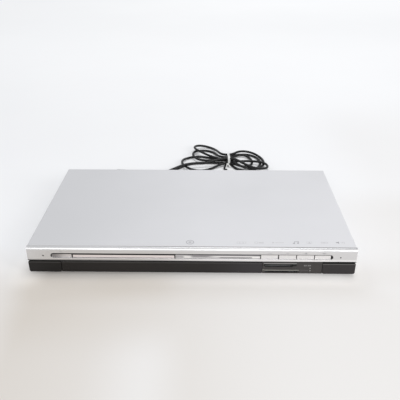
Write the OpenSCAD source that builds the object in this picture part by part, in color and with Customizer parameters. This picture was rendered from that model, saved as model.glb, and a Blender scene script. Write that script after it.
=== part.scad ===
// Slim disc player with a motor-driven tray, a card reader in its front and a tied mains lead.
// Millimetres. The player stands on z = 0 and its front faces -Y.

/* [Case] */
// Width of the case
case_w = 430; // [420:1:450]
// Depth of the case from the front face to the back face
case_d = 240; // [236:1:280]
// Height of the player on its feet
case_h = 42; // [42:0.5:50]
// Height of the feet
foot_h = 3.2; // [3:0.1:4]
// Radius of a foot
foot_r = 11; // [8:0.5:14]
// Thickness of the cover and the rear panel
sheet_t = 0.8; // [0.6:0.1:1]
// Thickness of the base sheet
base_t = 1; // [0.8:0.1:1.2]
// Height of the folded edges of the base
base_edge_h = 10; // [6:0.5:12]
// How far the phono sockets stand out behind the case
jack_out = 8; // [6:0.5:10]

/* [Front] */
// Depth of the moulded front beside the cover
bezel_d = 5; // [4.8:0.1:7]
// Wall of the moulded front
bezel_t = 2.5; // [2:0.1:3]
// Radius of the long top edge of the front
edge_r = 4.5; // [3:0.1:4.6]
// Height of the lower edge of the silver front
face_z = 21.9; // [21.6:0.1:22.4]
// Thickness of the black carrier behind the front
carrier_t = 2; // [1.6:0.1:2.4]
// Height of the middle of the long slot
slot_z = 29.4; // [29.2:0.1:30]
// Height of the long slot
slot_h = 7; // [7:0.1:7.4]
// Distance of the slot's ends from the sides
slot_end = 31.25; // [30:0.25:33]
// Length of the power button
power_w = 27.7; // [24:0.1:28]
// How far the tray door stands out beside the tray
door_over = 1; // [0.6:0.1:1.6]
// Length of each button at the right
key_w = 23.4; // [20:0.1:24]
// How far the bars in the slot lie behind the face
bar_set = 1.2; // [0.8:0.1:1.4]
// Thickness of the bars in the slot
bar_t = 3; // [2.6:0.1:3.2]
// Play beside each bar in the slot
bar_gap = 0.35; // [0.3:0.05:0.5]
// Travel of a button
key_travel = 0.6; // [0.3:0.1:0.6]
// Radius of the indicator dots
dot_r = 1; // [0.8:0.1:1.4]
// Distance of the two outer dots from the sides
dot_end = 21; // [17:0.5:24]

/* [Lower strip] */
// Width of the end blocks
block_w = 43; // [36:0.5:46]
// Corner radius of the end blocks
block_r = 2.5; // [1.5:0.1:4]
// Gap above the end blocks
block_gap = 1; // [0.6:0.1:1.5]
// Gap between the pieces of the strip
strip_gap = 0.5; // [0.3:0.1:0.8]
// Width of the card insert
card_w = 78; // [74:1:84]
// Width of the upper card slot
card_top_w = 36; // [34:0.5:40]
// Width of the lower card slot
card_low_w = 44; // [42:0.5:46]
// Height of the card slots
card_slot_h = 3.4; // [3.4:0.1:3.6]

/* [Tray and loader] */
// Width of the tray
tray_w = 132; // [131:0.5:133]
// Length of the tray behind its door
tray_l = 160; // [156:1:162]
// Height of the tray
tray_h = 6.1; // [6:0.1:6.2]
// Travel of the tray
tray_travel = 135; // [120:1:138]
// Radius of the recess for a 12 cm disc
disc_r = 60.8; // [60.5:0.1:61]
// Radius of the recess for an 8 cm disc
small_disc_r = 40.5; // [40.3:0.1:41]
// Depth of the recess for a 12 cm disc
disc_depth = 2.4; // [2:0.1:2.5]
// Further depth of the recess for an 8 cm disc
small_depth = 1; // [0.8:0.1:1.2]
// Half width of the window in the tray
window_r = 21; // [19:0.5:22]
// Wall of the loader frame
loader_t = 2.4; // [2:0.1:3]
// Play between the tray and its rails
rail_gap = 0.3; // [0.2:0.05:0.4]

/* [Traverse] */
// Radius of the turntable
table_r = 14; // [12:0.5:14.5]
// Radius of the centring hub
hub_r = 7.4; // [7.2:0.05:7.45]
// Radius of the spindle motor
spindle_r = 13; // [11:0.5:13]
// Travel of the pickup along its rods
sled_travel = 34; // [30:1:36]
// Radius of the guide rods
rod_r = 1.5; // [1.2:0.1:1.6]
// Running play of a bore on its pin
bore_gap = 0.06; // [0.03:0.01:0.1]
// Travel of the cam slider
cam_travel = 14; // [12:0.5:15]
// Drop of the deck at its front pins
deck_drop = 7.2; // [6:0.1:7.4]

/* [Boards] */
// Thickness of the circuit boards
board_t = 1.6; // [1.2:0.1:1.7]
// Height of the main board above the base sheet
main_board_up = 8; // [7:0.5:9]
// Height of the power board above the base sheet
power_board_up = 5; // [4:0.5:7]
// Radius of a phono socket's shell
phono_r = 4.15; // [4:0.05:4.2]

/* [Lead] */
// Diameter of the mains lead
lead_d = 4.4; // [4:0.1:5]

/* [Hidden] */
$fn = 48;

// Case
front_y = -(case_d + jack_out) / 2;
rear_y = front_y + case_d;
floor_z = foot_h + base_t;
cover_z = case_h - sheet_t;
base_half = case_w / 2 - sheet_t - 0.3;
seat = 0.3;

// Front
bezel_top = case_h - bezel_t + 0.3;
carrier_y = bezel_t + carrier_t;
slot_w = case_w - 2 * slot_end;
slot_x = -slot_w / 2;
door_w = tray_w + 2 * (door_over + bar_gap);
window_w = slot_w - power_w - door_w - 4 * key_w;
dot_x = case_w / 2 - dot_end;
door_x = slot_x + power_w;
window_x = door_x + door_w;
keys_x = window_x + window_w;
loader_x = door_x + door_w / 2;
bar_back = bar_set + bar_t;
front_board_y = 13;
tact_h = 3.4;
tact_y = front_board_y - tact_h;
key_gap_y = key_travel + 0.1;
key_bore_r = 1.9;
front_board_z = [face_z + 0.9, bezel_top - 0.4];
front_board_x = [loader_x + 76.5, base_half - 6];
key_board_x = [-base_half + 6, loader_x - 76];
front_post_x = [front_board_x[0] + 4, window_x + window_w - 4, front_board_x[1] - 8];
key_post_x = [key_board_x[0] + 5, key_board_x[1] - 5];
front_post_z = bezel_top - 2.4;
post_r = 1.9;
post_bore_r = 1.3;
screw_r = 1.2;
screw_head_r = 2.5;
screw_head_h = 1.4;
power_key_x = slot_x + power_w / 2;
strip_z = [foot_h + 0.6, face_z - seat];
strip_x = case_w / 2 - block_w - strip_gap;
card_x = strip_x - card_w;
card_slot_x = card_x + 3.5;
card_low_z = floor_z + 0.6;
card_top_z = 13.4;
ledge_z = [card_low_z + card_slot_h, card_low_z + card_slot_h + 1.8];
card_lamp_x = card_slot_x + card_low_w - 2.4;
card_lamp_z = 11.5;
dot_play = 0.05;

// Tray
tray_y = bar_back;
tray_z = slot_z - tray_h / 2;
tray_top = tray_z + tray_h;
disc_y = tray_y + 65.8;
recess_z = tray_top - disc_depth;
rail_x = tray_w / 2 + 0.6;
loader_y = [8, tray_y + tray_l + 8];
deck_z = tray_z - 8.35;
plate_t = 1.2;
rack_x = tray_w / 2 - 7;
rack_gear_n = 16;
drive_n = 36;
drive_m = 0.8;
pinion_n = 12;
mesh_play = 0.1;
drive_x = rack_x - rack_gear_n / 2 - mesh_play;
drive_y = 24;
belt_gear_x = drive_x - (drive_n + pinion_n) * drive_m / 2 - mesh_play;
pulley_r = 12;
motor_pulley_r = 3;
motor_x = -5;
motor_y = 22;
motor_r = 12.2;
channel_h = 2.3;
gear_pin_r = 1.5;
pulley_z = [deck_z + 0.3, deck_z + 3.1];
pinion_z = [pulley_z[1], deck_z + 7.2];
drive_z = [deck_z + 3.5, deck_z + 7];
rack_gear_z = [tray_z + 0.3, tray_z + 1.95];

// Traverse
hinge_y = disc_y + 85;
pin_y = disc_y - 28;
hinge_z = deck_z + 1;
pin_r = 1.5;
pin_x = 30;
cam_play = 0.3;
deck_t = 1.5;
deck_y = [disc_y - 25.5, hinge_y + 5];
flange_z = recess_z + 2;
lens_y = disc_y + 24;
guide_x = 23;
guide_z = deck_z + 2.6;
guide_y = [disc_y + 14.5, disc_y + 80.5];
feed_m = 0.5;
feed_n = 16;
feed_big_n = 40;
feed_pinion_n = 10;
sled_rack_x = 36;
feed_x = sled_rack_x + feed_n * feed_m / 2 + mesh_play;
deck_half = feed_x + feed_big_n * feed_m / 2 + 3.9;
feed_y = disc_y + 40;
feed_motor_y = feed_y + (feed_big_n + feed_pinion_n) * feed_m / 2 + mesh_play;
bridge_z = [tray_top + 2.15, tray_top + 3.75];
puck_z = flange_z + 0.95;

// Boards
main_z = floor_z + main_board_up;
main_x = [loader_x + 83, base_half - 8];
main_y = [52, case_d - 2 * sheet_t - 8];
power_z = floor_z + power_board_up;
power_x = [-base_half + 4, loader_x - 78];
power_y = [24, case_d - 2 * sheet_t - 14];
card_board_z = floor_z + 5.6;

// Lead
lead_r = lead_d / 2;
relief_x = -185;
relief_z = 14;
relief_l = 23;
panel_gap = 0.1;

// Block between two corners, given as [low, high] along each axis
module box(x, y, z) {
    translate([x[0], y[0], z[0]]) cube([x[1] - x[0], y[1] - y[0], z[1] - z[0]]);
}

module rod_x(x, y, z, r) {
    translate([x[0], y, z]) rotate([0, 90, 0]) cylinder(r = r, h = x[1] - x[0]);
}

module rod_y(x, y, z, r) {
    translate([x, y[0], z]) rotate([-90, 0, 0]) cylinder(r = r, h = y[1] - y[0]);
}

module rod_z(x, y, z, r) {
    translate([x, y, z[0]]) cylinder(r = r, h = z[1] - z[0]);
}

module both_sides() {
    children();
    mirror([1, 0, 0]) children();
}

// Frame of the front: y runs back from the front face
module in_front() {
    translate([0, front_y, 0]) children();
}

// Frame of the loader: as the front's, with x from the middle of the tray
module in_loader() {
    translate([loader_x, front_y, 0]) children();
}

// Extrudes an outline drawn in x and z from y[0] to y[1]
module along_y(y) {
    translate([0, y[1], 0]) rotate([90, 0, 0]) linear_extrude(y[1] - y[0]) children();
}

// Extrudes an outline drawn in y and z from x[0] to x[1]
module along_x(x) {
    translate([x[0], 0, 0]) rotate([90, 0, 90]) linear_extrude(x[1] - x[0]) children();
}

// Cross-head screw with its head on z = 0 and its shank down
module screw(length, head_r, shank_r) {
    difference() {
        union() {
            cylinder(r = head_r, h = screw_head_h);
            translate([0, 0, -length]) cylinder(r = shank_r, h = length);
        }
        for (turn = [0, 90]) {
            rotate(turn) translate([-head_r * 0.6, -0.3, screw_head_h - 0.7]) cube([head_r * 1.2, 0.6, 1]);
        }
    }
}

// Places of the feet
foot_x = case_w / 2 - 42;
foot_y = [26, case_d - 26];
foot_pad_r = foot_r - 3;
foot_peg_r = 2.4;
module at_feet() {
    for (x = [-foot_x, foot_x], y = foot_y) in_front() translate([x, y, 0]) children();
}

// Places of the board posts, as [x, y] in the frame of the front
main_post_x = [main_x[0] + 5, (main_x[0] + main_x[1]) / 2, main_x[1] - 5];
main_posts = [for (x = main_post_x, y = [main_y[0] + 5, main_y[1] - 22]) [x, y]];
power_posts = [for (x = [power_x[0] + 5, power_x[1] - 5], y = [power_y[0] + 6, power_y[1] - 6]) [x, y]];
card_posts = [for (x = [card_x + 8, card_x + 62]) [x, 44]];
loader_foot_x = rail_x + loader_t + 3.4;
loader_foot_y = [18, loader_y[1] - 10];
loader_foot_r = 3.6;
loader_foot_z = floor_z + 5;
loader_feet = [for (x = [-loader_foot_x, loader_foot_x], y = loader_foot_y) [loader_x + x, y]];

module post(at, height) {
    rod_z(at[0], at[1], [floor_z - base_t / 2, floor_z + height], 3);
}

module chassis_base() {
    back = case_d - 2 * sheet_t;
    edge_z = [floor_z, floor_z + base_edge_h];
    color("silver") in_front() difference() {
        union() {
            box([-base_half, base_half], [carrier_y, back], [foot_h, floor_z]);
            both_sides() box([base_half - base_t, base_half], [bezel_d + 0.2, back], edge_z);
            both_sides() box([base_half - 24, base_half - 8], [carrier_y, carrier_y + base_t], edge_z);
            for (at = main_posts) post(at, main_board_up);
            for (at = power_posts) post(at, power_board_up);
            for (at = card_posts) post(at, card_board_z - floor_z);
        }
        for (at = concat(main_posts, power_posts, card_posts)) {
            rod_z(at[0], at[1], [foot_h - 1, case_h], post_bore_r);
        }
        for (at = loader_feet) rod_z(at[0], at[1], [foot_h - 1, case_h], post_bore_r + 0.2);
        for (x = [-foot_x, foot_x], y = foot_y) rod_z(x, y, [foot_h - 1, case_h], foot_peg_r + 0.1);
        for (i = [0:8]) {
            box([power_x[0] + 6, power_x[1] - 8], [90 + 6 * i, 92.5 + 6 * i], [foot_h - 1, floor_z + 1]);
            box([main_x[0] + 30, main_x[0] + 75], [90 + 6 * i, 92.5 + 6 * i], [foot_h - 1, floor_z + 1]);
        }
    }
}

module feet() {
    color("dimgray") at_feet() difference() {
        union() {
            translate([0, 0, 1.4]) cylinder(r = foot_r, h = foot_h - 1.4);
            translate([0, 0, 0.6]) cylinder(r1 = foot_r - 0.8, r2 = foot_r, h = 0.8);
            cylinder(r = foot_peg_r, h = floor_z + 1);
        }
        translate([0, 0, -1]) cylinder(r = foot_pad_r, h = 2.4);
    }
}

module foot_pads() {
    color("black") at_feet() cylinder(r = foot_pad_r - 0.1, h = 1.4);
}

// Sockets in the rear panel
phono_x = [for (i = [0:2]) base_half - 42 + 14 * i];
phono_z = [main_z + 5, main_z + 16.5];
phono_ring_r = 5.2;
av_size = [48, 17.5];
av_z = main_z + board_t + 11.5;
coax_x = main_x[0] + 8;
coax_z = main_z + 8;
optic_x = [coax_x - 5, coax_x + 5];
av_space = [coax_x + 6, phono_x[0] - 6.8];
av_x = [for (share = [1, 3]) av_space[0] + (av_space[1] - av_space[0]) * share / 4];
optic_z = [main_z + 13.5, main_z + 21.5];
cover_flange_h = 6.8;
cover_screw_x = [for (i = [-2:2]) i * (case_w / 2 - 14) / 2];
cover_screw_z = cover_z - cover_flange_h / 2;

// Outline of a 21-pin socket in x and z, made larger all round by grow
module av_outline(grow) {
    w = av_size[0] / 2 + grow;
    h = av_size[1] / 2 + grow;
    cut = 6;
    polygon([[-w, -h + cut], [-w + cut, -h], [w, -h], [w, h], [-w, h]]);
}

module rear_panel() {
    y = [case_d - 2 * sheet_t, case_d - sheet_t];
    through = [y[0] - 1, y[1] + 1];
    color("silver") in_front() difference() {
        box([-base_half, base_half], y, [foot_h, cover_z - 0.1]);
        for (x = phono_x, z = phono_z) rod_y(x, through, z, phono_ring_r + panel_gap);
        rod_y(coax_x, through, coax_z, phono_ring_r + panel_gap);
        box([optic_x[0] - panel_gap, optic_x[1] + panel_gap], through,
            [optic_z[0] - panel_gap, optic_z[1] + panel_gap]);
        for (x = av_x) translate([x, 0, av_z]) along_y(through) av_outline(panel_gap);
        rod_y(relief_x, through, relief_z, relief_neck_r + panel_gap);
        for (x = cover_screw_x) rod_y(x, through, cover_screw_z, cover_shank_r + 0.1);
        for (i = [0:14]) box([relief_x + 18 + 5 * i, relief_x + 20.5 + 5 * i], through, [12, 27]);
    }
}

cover_edge_r = 1.4;

// Outline of the cover in x and z above low, moved in by inset on the top and the sides
module cover_outline(inset, low) {
    w = case_w / 2 - inset;
    top = case_h - inset;
    r = cover_edge_r - inset;
    translate([-w, low]) square([2 * w, top - r - low]);
    translate([r - w, low]) square([2 * (w - r), top - low]);
    for (x = [r - w, w - r]) translate([x, top - r]) circle(r);
}

module top_cover() {
    color("gainsboro") in_front() difference() {
        union() {
            difference() {
                along_y([bezel_d + 0.1, case_d]) cover_outline(0, floor_z);
                along_y([0, case_d + 1]) cover_outline(sheet_t, 0);
            }
            box([-base_half, base_half], [case_d - sheet_t, case_d], [cover_z - cover_flange_h, cover_z]);
            both_sides() box([base_half - 0.1, case_w / 2 - sheet_t / 2], [case_d - sheet_t, case_d],
                             [floor_z + 1, cover_z - 2]);
        }
        for (x = cover_screw_x) rod_y(x, [case_d - 2, case_d + 1], cover_screw_z, cover_shank_r + 0.1);
    }
}

cover_shank_r = 1.4;

module cover_screws() {
    color("silver") in_front() {
        for (x = cover_screw_x) {
            translate([x, case_d, cover_screw_z]) rotate([-90, 0, 0]) screw(5, 2.8, cover_shank_r);
        }
    }
}

// Outline of the long slot in x and z, moved in by inset all round
module slot_outline(inset) {
    r = slot_h / 2 - inset;
    for (x = [slot_h / 2 - slot_w / 2, slot_w / 2 - slot_h / 2]) translate([x, 0]) circle(r);
    translate([slot_h / 2 - slot_w / 2, -r]) square([slot_w - slot_h, 2 * r]);
}

// Bar that fills the slot from x[0] to x[1] with its play
module slot_bar(x, y) {
    translate([0, 0, slot_z]) along_y(y) intersection() {
        slot_outline(bar_gap);
        translate([x[0] + bar_gap, -slot_h]) square([x[1] - x[0] - 2 * bar_gap, 2 * slot_h]);
    }
}

// Side view of the silver front in y and z
module bezel_profile() {
    translate([0, face_z]) square([bezel_d, case_h - edge_r - face_z]);
    intersection() {
        translate([0, case_h - edge_r - 1]) square([bezel_d, edge_r + 1]);
        union() {
            translate([edge_r, case_h - edge_r]) circle(edge_r);
            translate([edge_r, face_z]) square([bezel_d, case_h - face_z]);
        }
    }
}

module dot_bores(play) {
    for (x = [-dot_x, dot_x]) rod_y(x, [-1, carrier_y + 1], slot_z, dot_r + play);
}

module front_bezel() {
    half = case_w / 2;
    color("silver") in_front() difference() {
        along_x([-half, half]) bezel_profile();
        box([bezel_t - half, half - bezel_t], [bezel_t, bezel_d + 1], [face_z - 1, bezel_top]);
        translate([0, 0, slot_z]) along_y([-1, bezel_t + 1]) slot_outline(0);
        dot_bores(dot_play);
    }
}

key_stem = [6, 3];
key_guide_y = bar_back + key_travel + 0.2;
key_x = [for (i = [0:3]) keys_x + (i + 0.5) * key_w];

// Rear guide of a button's stem, above or below it
module key_guide(x, side) {
    near = key_stem[1] / 2 + 0.3;
    far = slot_h / 2 + 2.4;
    low = side > 0 ? near : -far;
    root = side > 0 ? slot_h / 2 + 0.2 : -far;
    box([x - 7, x + 7], [key_guide_y, key_guide_y + 2.2], [slot_z + low, slot_z + low + far - near]);
    box([x - 7, x + 7], [carrier_y - 0.2, key_guide_y + 0.1],
        [slot_z + root, slot_z + root + far - slot_h / 2 - 0.2]);
}

module front_carrier() {
    half = case_w / 2 - bezel_t - 0.2;
    shelf_y = carrier_y + 7;
    lip_half = case_w / 2 - 15;
    card_hole = [card_slot_x - 1, card_slot_x + card_low_w + 1];
    color("dimgray") in_front() difference() {
        union() {
            difference() {
                union() {
                    box([-half, half], [bezel_t, carrier_y], [foot_h, bezel_top]);
                    box([-lip_half, lip_half], [carrier_y - 0.5, shelf_y], [bezel_top - 1.6, bezel_top]);
                    box([-lip_half, lip_half], [bezel_d + 0.2, shelf_y], [bezel_top - 0.2, cover_z]);
                }
                translate([0, 0, slot_z]) along_y([-1, carrier_y + 1]) slot_outline(0);
                box(card_hole, [-1, carrier_y + 1], [card_low_z - 0.3, card_top_z + card_slot_h + 0.5]);
            }
            for (x = concat(front_post_x, key_post_x)) {
                rod_y(x, [carrier_y - 0.5, front_board_y], front_post_z, post_r + 0.3);
            }
            for (x = concat(key_x, power_key_x), side = [-1, 1]) key_guide(x, side);
        }
        for (x = concat(front_post_x, key_post_x)) {
            rod_y(x, [carrier_y + 1, case_d], front_post_z, post_bore_r);
        }
        dot_bores(dot_play);
        rod_y(card_lamp_x, [-1, carrier_y + 1], card_lamp_z, dot_r + dot_play);
    }
}

// Side view of the black strip in y and z, with a bevel along its top
module strip_profile() {
    face = 0.3;
    bevel = 1.3;
    polygon([[face, strip_z[0]], [bezel_t, strip_z[0]], [bezel_t, strip_z[1]],
             [face + bevel, strip_z[1]], [face, strip_z[1] - bevel]]);
}

module lower_fascia() {
    color([0.2, 0.19, 0.2]) in_front() along_x([-strip_x, card_x - strip_gap]) strip_profile();
}

// End block at the right of the strip
module end_block() {
    x = [case_w / 2 - block_w, case_w / 2];
    z = [strip_z[0], face_z - block_gap];
    in_front() {
        along_y([0, bezel_t]) union() {
            for (cx = [x[0] + block_r, x[1] - block_r], cz = [z[0] + block_r, z[1] - block_r]) {
                translate([cx, cz]) circle(block_r);
            }
            translate([x[0] + block_r, z[0]]) square([block_w - 2 * block_r, z[1] - z[0]]);
            translate([x[0], z[0] + block_r]) square([block_w, z[1] - z[0] - 2 * block_r]);
        }
        box([x[1] - bezel_t + 0.1, x[1]], [bezel_t - 0.1, bezel_d - 0.1], [z[0] + block_r, z[1] - block_r]);
    }
}

module left_end_block() {
    color([0.2, 0.19, 0.19]) mirror([1, 0, 0]) end_block();
}

module right_end_block() {
    color([0.24, 0.23, 0.23]) end_block();
}

module card_bezel() {
    face = 0.6;
    through = [-1, bezel_t + 1];
    low = [card_slot_x, card_slot_x + card_low_w];
    color([0.36, 0.35, 0.35]) in_front() difference() {
        union() {
            box([card_x, strip_x], [face, bezel_t], strip_z);
            box([low[0] - 1, low[1] + 1], [0, face + 0.5], ledge_z);
        }
        box(low, through, [card_low_z, card_low_z + card_slot_h]);
        box([low[0], low[0] + card_top_w], through, [card_top_z, card_top_z + card_slot_h]);
        rod_y(card_lamp_x, through, card_lamp_z, dot_r + dot_play);
    }
}

module display_window() {
    x = [window_x, window_x + window_w];
    color([0.55, 0.55, 0.57]) in_front() {
        slot_bar(x, [bar_set, carrier_y]);
        box([x[0] + 3, x[1] - 3], [carrier_y, carrier_y + 1], [slot_z - 4.6, slot_z + 4.6]);
    }
}

// Lamp lens with a collar behind the carrier
module dot_lens(x, z, face) {
    rod_y(x, [face, carrier_y + 0.5], z, dot_r);
    rod_y(x, [carrier_y, carrier_y + 1], z, dot_r + 0.8);
}

module indicator_lenses() {
    color([0.3, 0.32, 0.3]) in_front() {
        for (x = [-dot_x, dot_x]) dot_lens(x, slot_z, 0.1);
        dot_lens(card_lamp_x, card_lamp_z, 0.5);
    }
}

// Button cap in the slot, with the stem and plunger that work its switch
module push_key(x, stem_x) {
    stem_y = tact_y - key_gap_y;
    in_front() {
        slot_bar(x, [bar_set, bar_back]);
        box([stem_x - key_stem[0] / 2, stem_x + key_stem[0] / 2], [bar_back - 0.2, stem_y],
            [slot_z - key_stem[1] / 2, slot_z + key_stem[1] / 2]);
        rod_y(stem_x, [stem_y - 0.2, tact_y + 0.8], slot_z, key_bore_r - 0.2);
    }
}

module power_button() {
    color("gainsboro") push_key([slot_x, door_x], power_key_x);
}

module right_key(i) {
    color("gainsboro") push_key([keys_x + i * key_w, keys_x + (i + 1) * key_w], key_x[i]);
}

module open_button() {
    right_key(0);
}

module play_button() {
    right_key(1);
}

module stop_button() {
    right_key(2);
}

module skip_button() {
    right_key(3);
}

board_back = front_board_y + board_t;
front_plug_x = [front_board_x[0] + 12, front_board_x[0] + 34];
key_plug_x = [key_board_x[0] + 4, key_board_x[0] + 14];
front_plug_z = [face_z + 2, face_z + 7.5];
card_plug_x = [card_x + 66, card_x + 76];
link_cable_y = [case_d - 48, case_d - 36];

module front_boards() {
    y = [front_board_y, board_back];
    color("darkgreen") in_front() difference() {
        union() {
            box(front_board_x, y, front_board_z);
            box(key_board_x, y, front_board_z);
            for (x = [-dot_x, dot_x]) rod_y(x, [carrier_y + 1.1, y[0] + 0.5], slot_z, 1.5);
            box(front_plug_x, [y[0], y[1] + 4], front_plug_z);
            box(key_plug_x, [y[0], y[1] + 4], front_plug_z);
        }
        for (x = concat(front_post_x, key_post_x)) rod_y(x, [0, case_d], front_post_z, screw_r + 0.2);
    }
}

module display_module() {
    x = [window_x + 8, window_x + window_w - 8];
    color([0.15, 0.2, 0.2]) in_front() {
        box(x, [carrier_y + 1.3, front_board_y - 2], [slot_z - 5.4, slot_z + 5.8]);
        box([x[0] + 4, x[1] - 4], [front_board_y - 2.2, front_board_y], [slot_z - 5, slot_z - 3]);
    }
}

module tact_switches() {
    color("black") in_front() difference() {
        for (x = concat(key_x, power_key_x)) {
            box([x - 3, x + 3], [tact_y, front_board_y], [slot_z - 3, slot_z + 3]);
        }
        for (x = concat(key_x, power_key_x)) rod_y(x, [tact_y - 1, tact_y + 2], slot_z, key_bore_r);
    }
}

// Spur gear outline: straight-sided teeth that stay inside the involute, one of them on +x
function gear_points(n, m) = [
    for (i = [0:n - 1], p = [[-1.25, n < 14 ? -0.6 : -0.8], [0, -0.62], [1, -0.22],
                             [1, 0.22], [0, 0.62], [-1.25, n < 14 ? 0.6 : 0.8]])
        let (r = m * (n / 2 + p[0]), h = m * p[1], a = i * 360 / n)
            [r * cos(a) - h * sin(a), r * sin(a) + h * cos(a)]
];

module gear(n, m, z) {
    translate([0, 0, z[0]]) linear_extrude(z[1] - z[0]) polygon(gear_points(n, m));
}

// Rack teeth that point to -x, from index first to last, with a gap at y = 0
module rack_teeth(m, first, last, z) {
    for (i = [first:last]) {
        translate([0, (i + 0.5) * PI * m, z[0]]) linear_extrude(z[1] - z[0]) {
            polygon([[1.4 * m, -m], [0, -0.62 * m], [-m, -0.24 * m],
                     [-m, 0.24 * m], [0, 0.62 * m], [1.4 * m, m]]);
        }
    }
}

cam_x = [-pin_x - cam_travel - 4.5, pin_x + 4.5];
cam_z = [hinge_z - deck_drop - pin_r - cam_play - 1.4, hinge_z + pin_r + cam_play + 1.8];
cam_y = [pin_y - 1, pin_y + 1];
cam_floor = cam_z[0] - seat;
bush_r = 3.3;
block_x = deck_half + 2;
bridge_boss_x = rail_x + loader_t + 2;
bridge_boss_y = [disc_y - 12, disc_y + 12];
loader_wall_z = [floor_z + 6, bridge_z[0]];

module loader_frame() {
    wall_x = [rail_x, rail_x + loader_t];
    across = [-wall_x[0] - 0.1, wall_x[0] + 0.1];
    rib_y = [cam_y[0] - 1.6, cam_y[0] - 0.4];
    shelf_y = [rib_y[0], cam_y[1] + 1.4];
    ledge_z = [tray_z - rail_gap - 2.2, tray_z - rail_gap];
    lip_z = [tray_top + rail_gap, tray_top + rail_gap + 1.4];
    color([0.25, 0.25, 0.27]) in_loader() difference() {
        union() {
            both_sides() {
                box(wall_x, loader_y, loader_wall_z);
                for (y = loader_foot_y) {
                    box([wall_x[0], loader_foot_x], [y - loader_foot_r, y + loader_foot_r],
                        [floor_z, loader_foot_z]);
                    box(wall_x, [y - loader_foot_r, y + loader_foot_r], [floor_z, loader_wall_z[0] + 0.1]);
                    rod_z(loader_foot_x, y, [floor_z, loader_foot_z], loader_foot_r);
                }
                for (y = [loader_y[0] + 4, loader_y[1] - 32]) {
                    box([wall_x[0] - 3.5, wall_x[0] + 0.1], [y, y + 10], lip_z);
                }
                for (y = bridge_boss_y) {
                    rod_z(bridge_boss_x, y, [bridge_z[0] - 8, bridge_z[0]], 3);
                }
                box([block_x, wall_x[0] + 0.1], [hinge_y - 5, hinge_y + 5], [hinge_z - 5, ledge_z[0] + 0.1]);
                box([wall_x[0] - 5, wall_x[0] + 0.1], [pin_y, loader_y[1] - 0.1], ledge_z);
            }
            box([across[0], 5 - wall_x[0]], [loader_y[0], pin_y + 0.1], ledge_z);
            box(across, [loader_y[0], cam_y[0] - 0.4], [deck_z - plate_t, deck_z]);
            box(across, rib_y, [cam_floor - 2, deck_z - 0.1]);
            box(across, shelf_y, [cam_floor - 2, cam_floor]);
            both_sides() {
                box([wall_x[0] - 0.1, wall_x[1] - 0.1], shelf_y, [cam_floor - 2, loader_wall_z[0] + 0.1]);
            }
            box([-8, 8], [cam_y[1] + 0.3, cam_y[1] + 1.4], [cam_floor - 0.1, cam_floor + 2]);
            box(across, [loader_y[1] - loader_t, loader_y[1]],
                [loader_wall_z[0], deck_z + 4]);
            rod_z(drive_x, drive_y, [deck_z - 0.5, rack_gear_z[1]], gear_pin_r);
            rod_z(belt_gear_x, drive_y, [deck_z - 0.5, pinion_z[1]], gear_pin_r);
        }
        rod_z(motor_x, motor_y, [deck_z - plate_t - 1, deck_z + 1], 4);
        both_sides() {
            for (y = loader_foot_y) rod_z(loader_foot_x, y, [0, loader_foot_z + 0.1], post_bore_r);
            for (y = bridge_boss_y) rod_z(bridge_boss_x, y, [bridge_z[0] - 6, bridge_z[0] + 1], post_bore_r);
            rod_x([block_x - 1, block_x + 5], hinge_y, hinge_z, bush_r + 0.05);
        }
    }
}

module disc_tray() {
    tray_end = tray_y + tray_l;
    teeth = floor((tray_end - drive_y) / PI) - 1;
    color([0.16, 0.16, 0.17]) in_loader() {
        difference() {
            box([-tray_w / 2, tray_w / 2], [tray_y, tray_end], [tray_z, tray_top]);
            rod_z(0, disc_y, [recess_z, case_h], disc_r, $fn = 96);
            rod_z(0, disc_y, [recess_z - small_depth, case_h], small_disc_r);
            for (turn = [45:90:315]) {
                translate([0, disc_y, 0]) rotate(turn) rod_z(disc_r - 1, 0, [recess_z, case_h], 9);
            }
            rod_z(0, disc_y, [0, case_h], window_r);
            box([-window_r, window_r], [disc_y, tray_end + 1], [0, case_h]);
            box([rack_x - rack_gear_n / 2 - 9.5, rack_x + 1.25], [tray_y + 10, tray_end + 1],
                [tray_z - 1, tray_z + channel_h]);
            box([-tray_w / 2 + 8, -window_r - 3], [tray_y + 6, tray_end - 4], [tray_z - 1, tray_z + 1.2]);
        }
        translate([rack_x, drive_y, 0]) rack_teeth(1, -3, teeth, [tray_z + 0.1, tray_z + channel_h + 0.05]);
    }
}

module tray_door() {
    color("gainsboro") in_front() slot_bar([door_x, window_x], [bar_set, bar_back]);
}

module tray_motor() {
    top = deck_z - plate_t;
    color("silver") in_loader() difference() {
        union() {
            rod_z(motor_x, motor_y, [floor_z + 0.5, top], motor_r);
            rod_z(motor_x, motor_y, [top - 0.1, deck_z], 3.5);
        }
        rod_z(motor_x, motor_y, [floor_z + 4, case_h], 1 + bore_gap);
    }
}

// Belt pulley with a groove of radius r
module pulley(r) {
    rod_z(0, 0, pulley_z, r);
    rod_z(0, 0, [pulley_z[0], pulley_z[0] + 0.6], r + 1);
    rod_z(0, 0, [pulley_z[1] - 0.6, pulley_z[1]], r + 1);
}

module motor_pulley() {
    color("goldenrod") in_loader() translate([motor_x, motor_y, 0]) {
        pulley(motor_pulley_r);
        rod_z(0, 0, [floor_z + 4.5, pulley_z[1]], 1);
    }
}

// Space inside the belt, made larger all round by grow
module belt_loop(grow) {
    hull() {
        translate([motor_x, motor_y]) circle(motor_pulley_r + grow);
        translate([belt_gear_x, drive_y]) circle(pulley_r + grow);
    }
}

module tray_belt() {
    z = [pulley_z[0] + 0.8, pulley_z[1] - 0.8];
    color([0.1, 0.1, 0.1]) in_loader() translate([0, 0, z[0]]) linear_extrude(z[1] - z[0]) difference() {
        belt_loop(1.2);
        belt_loop(0.1);
    }
}

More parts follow.
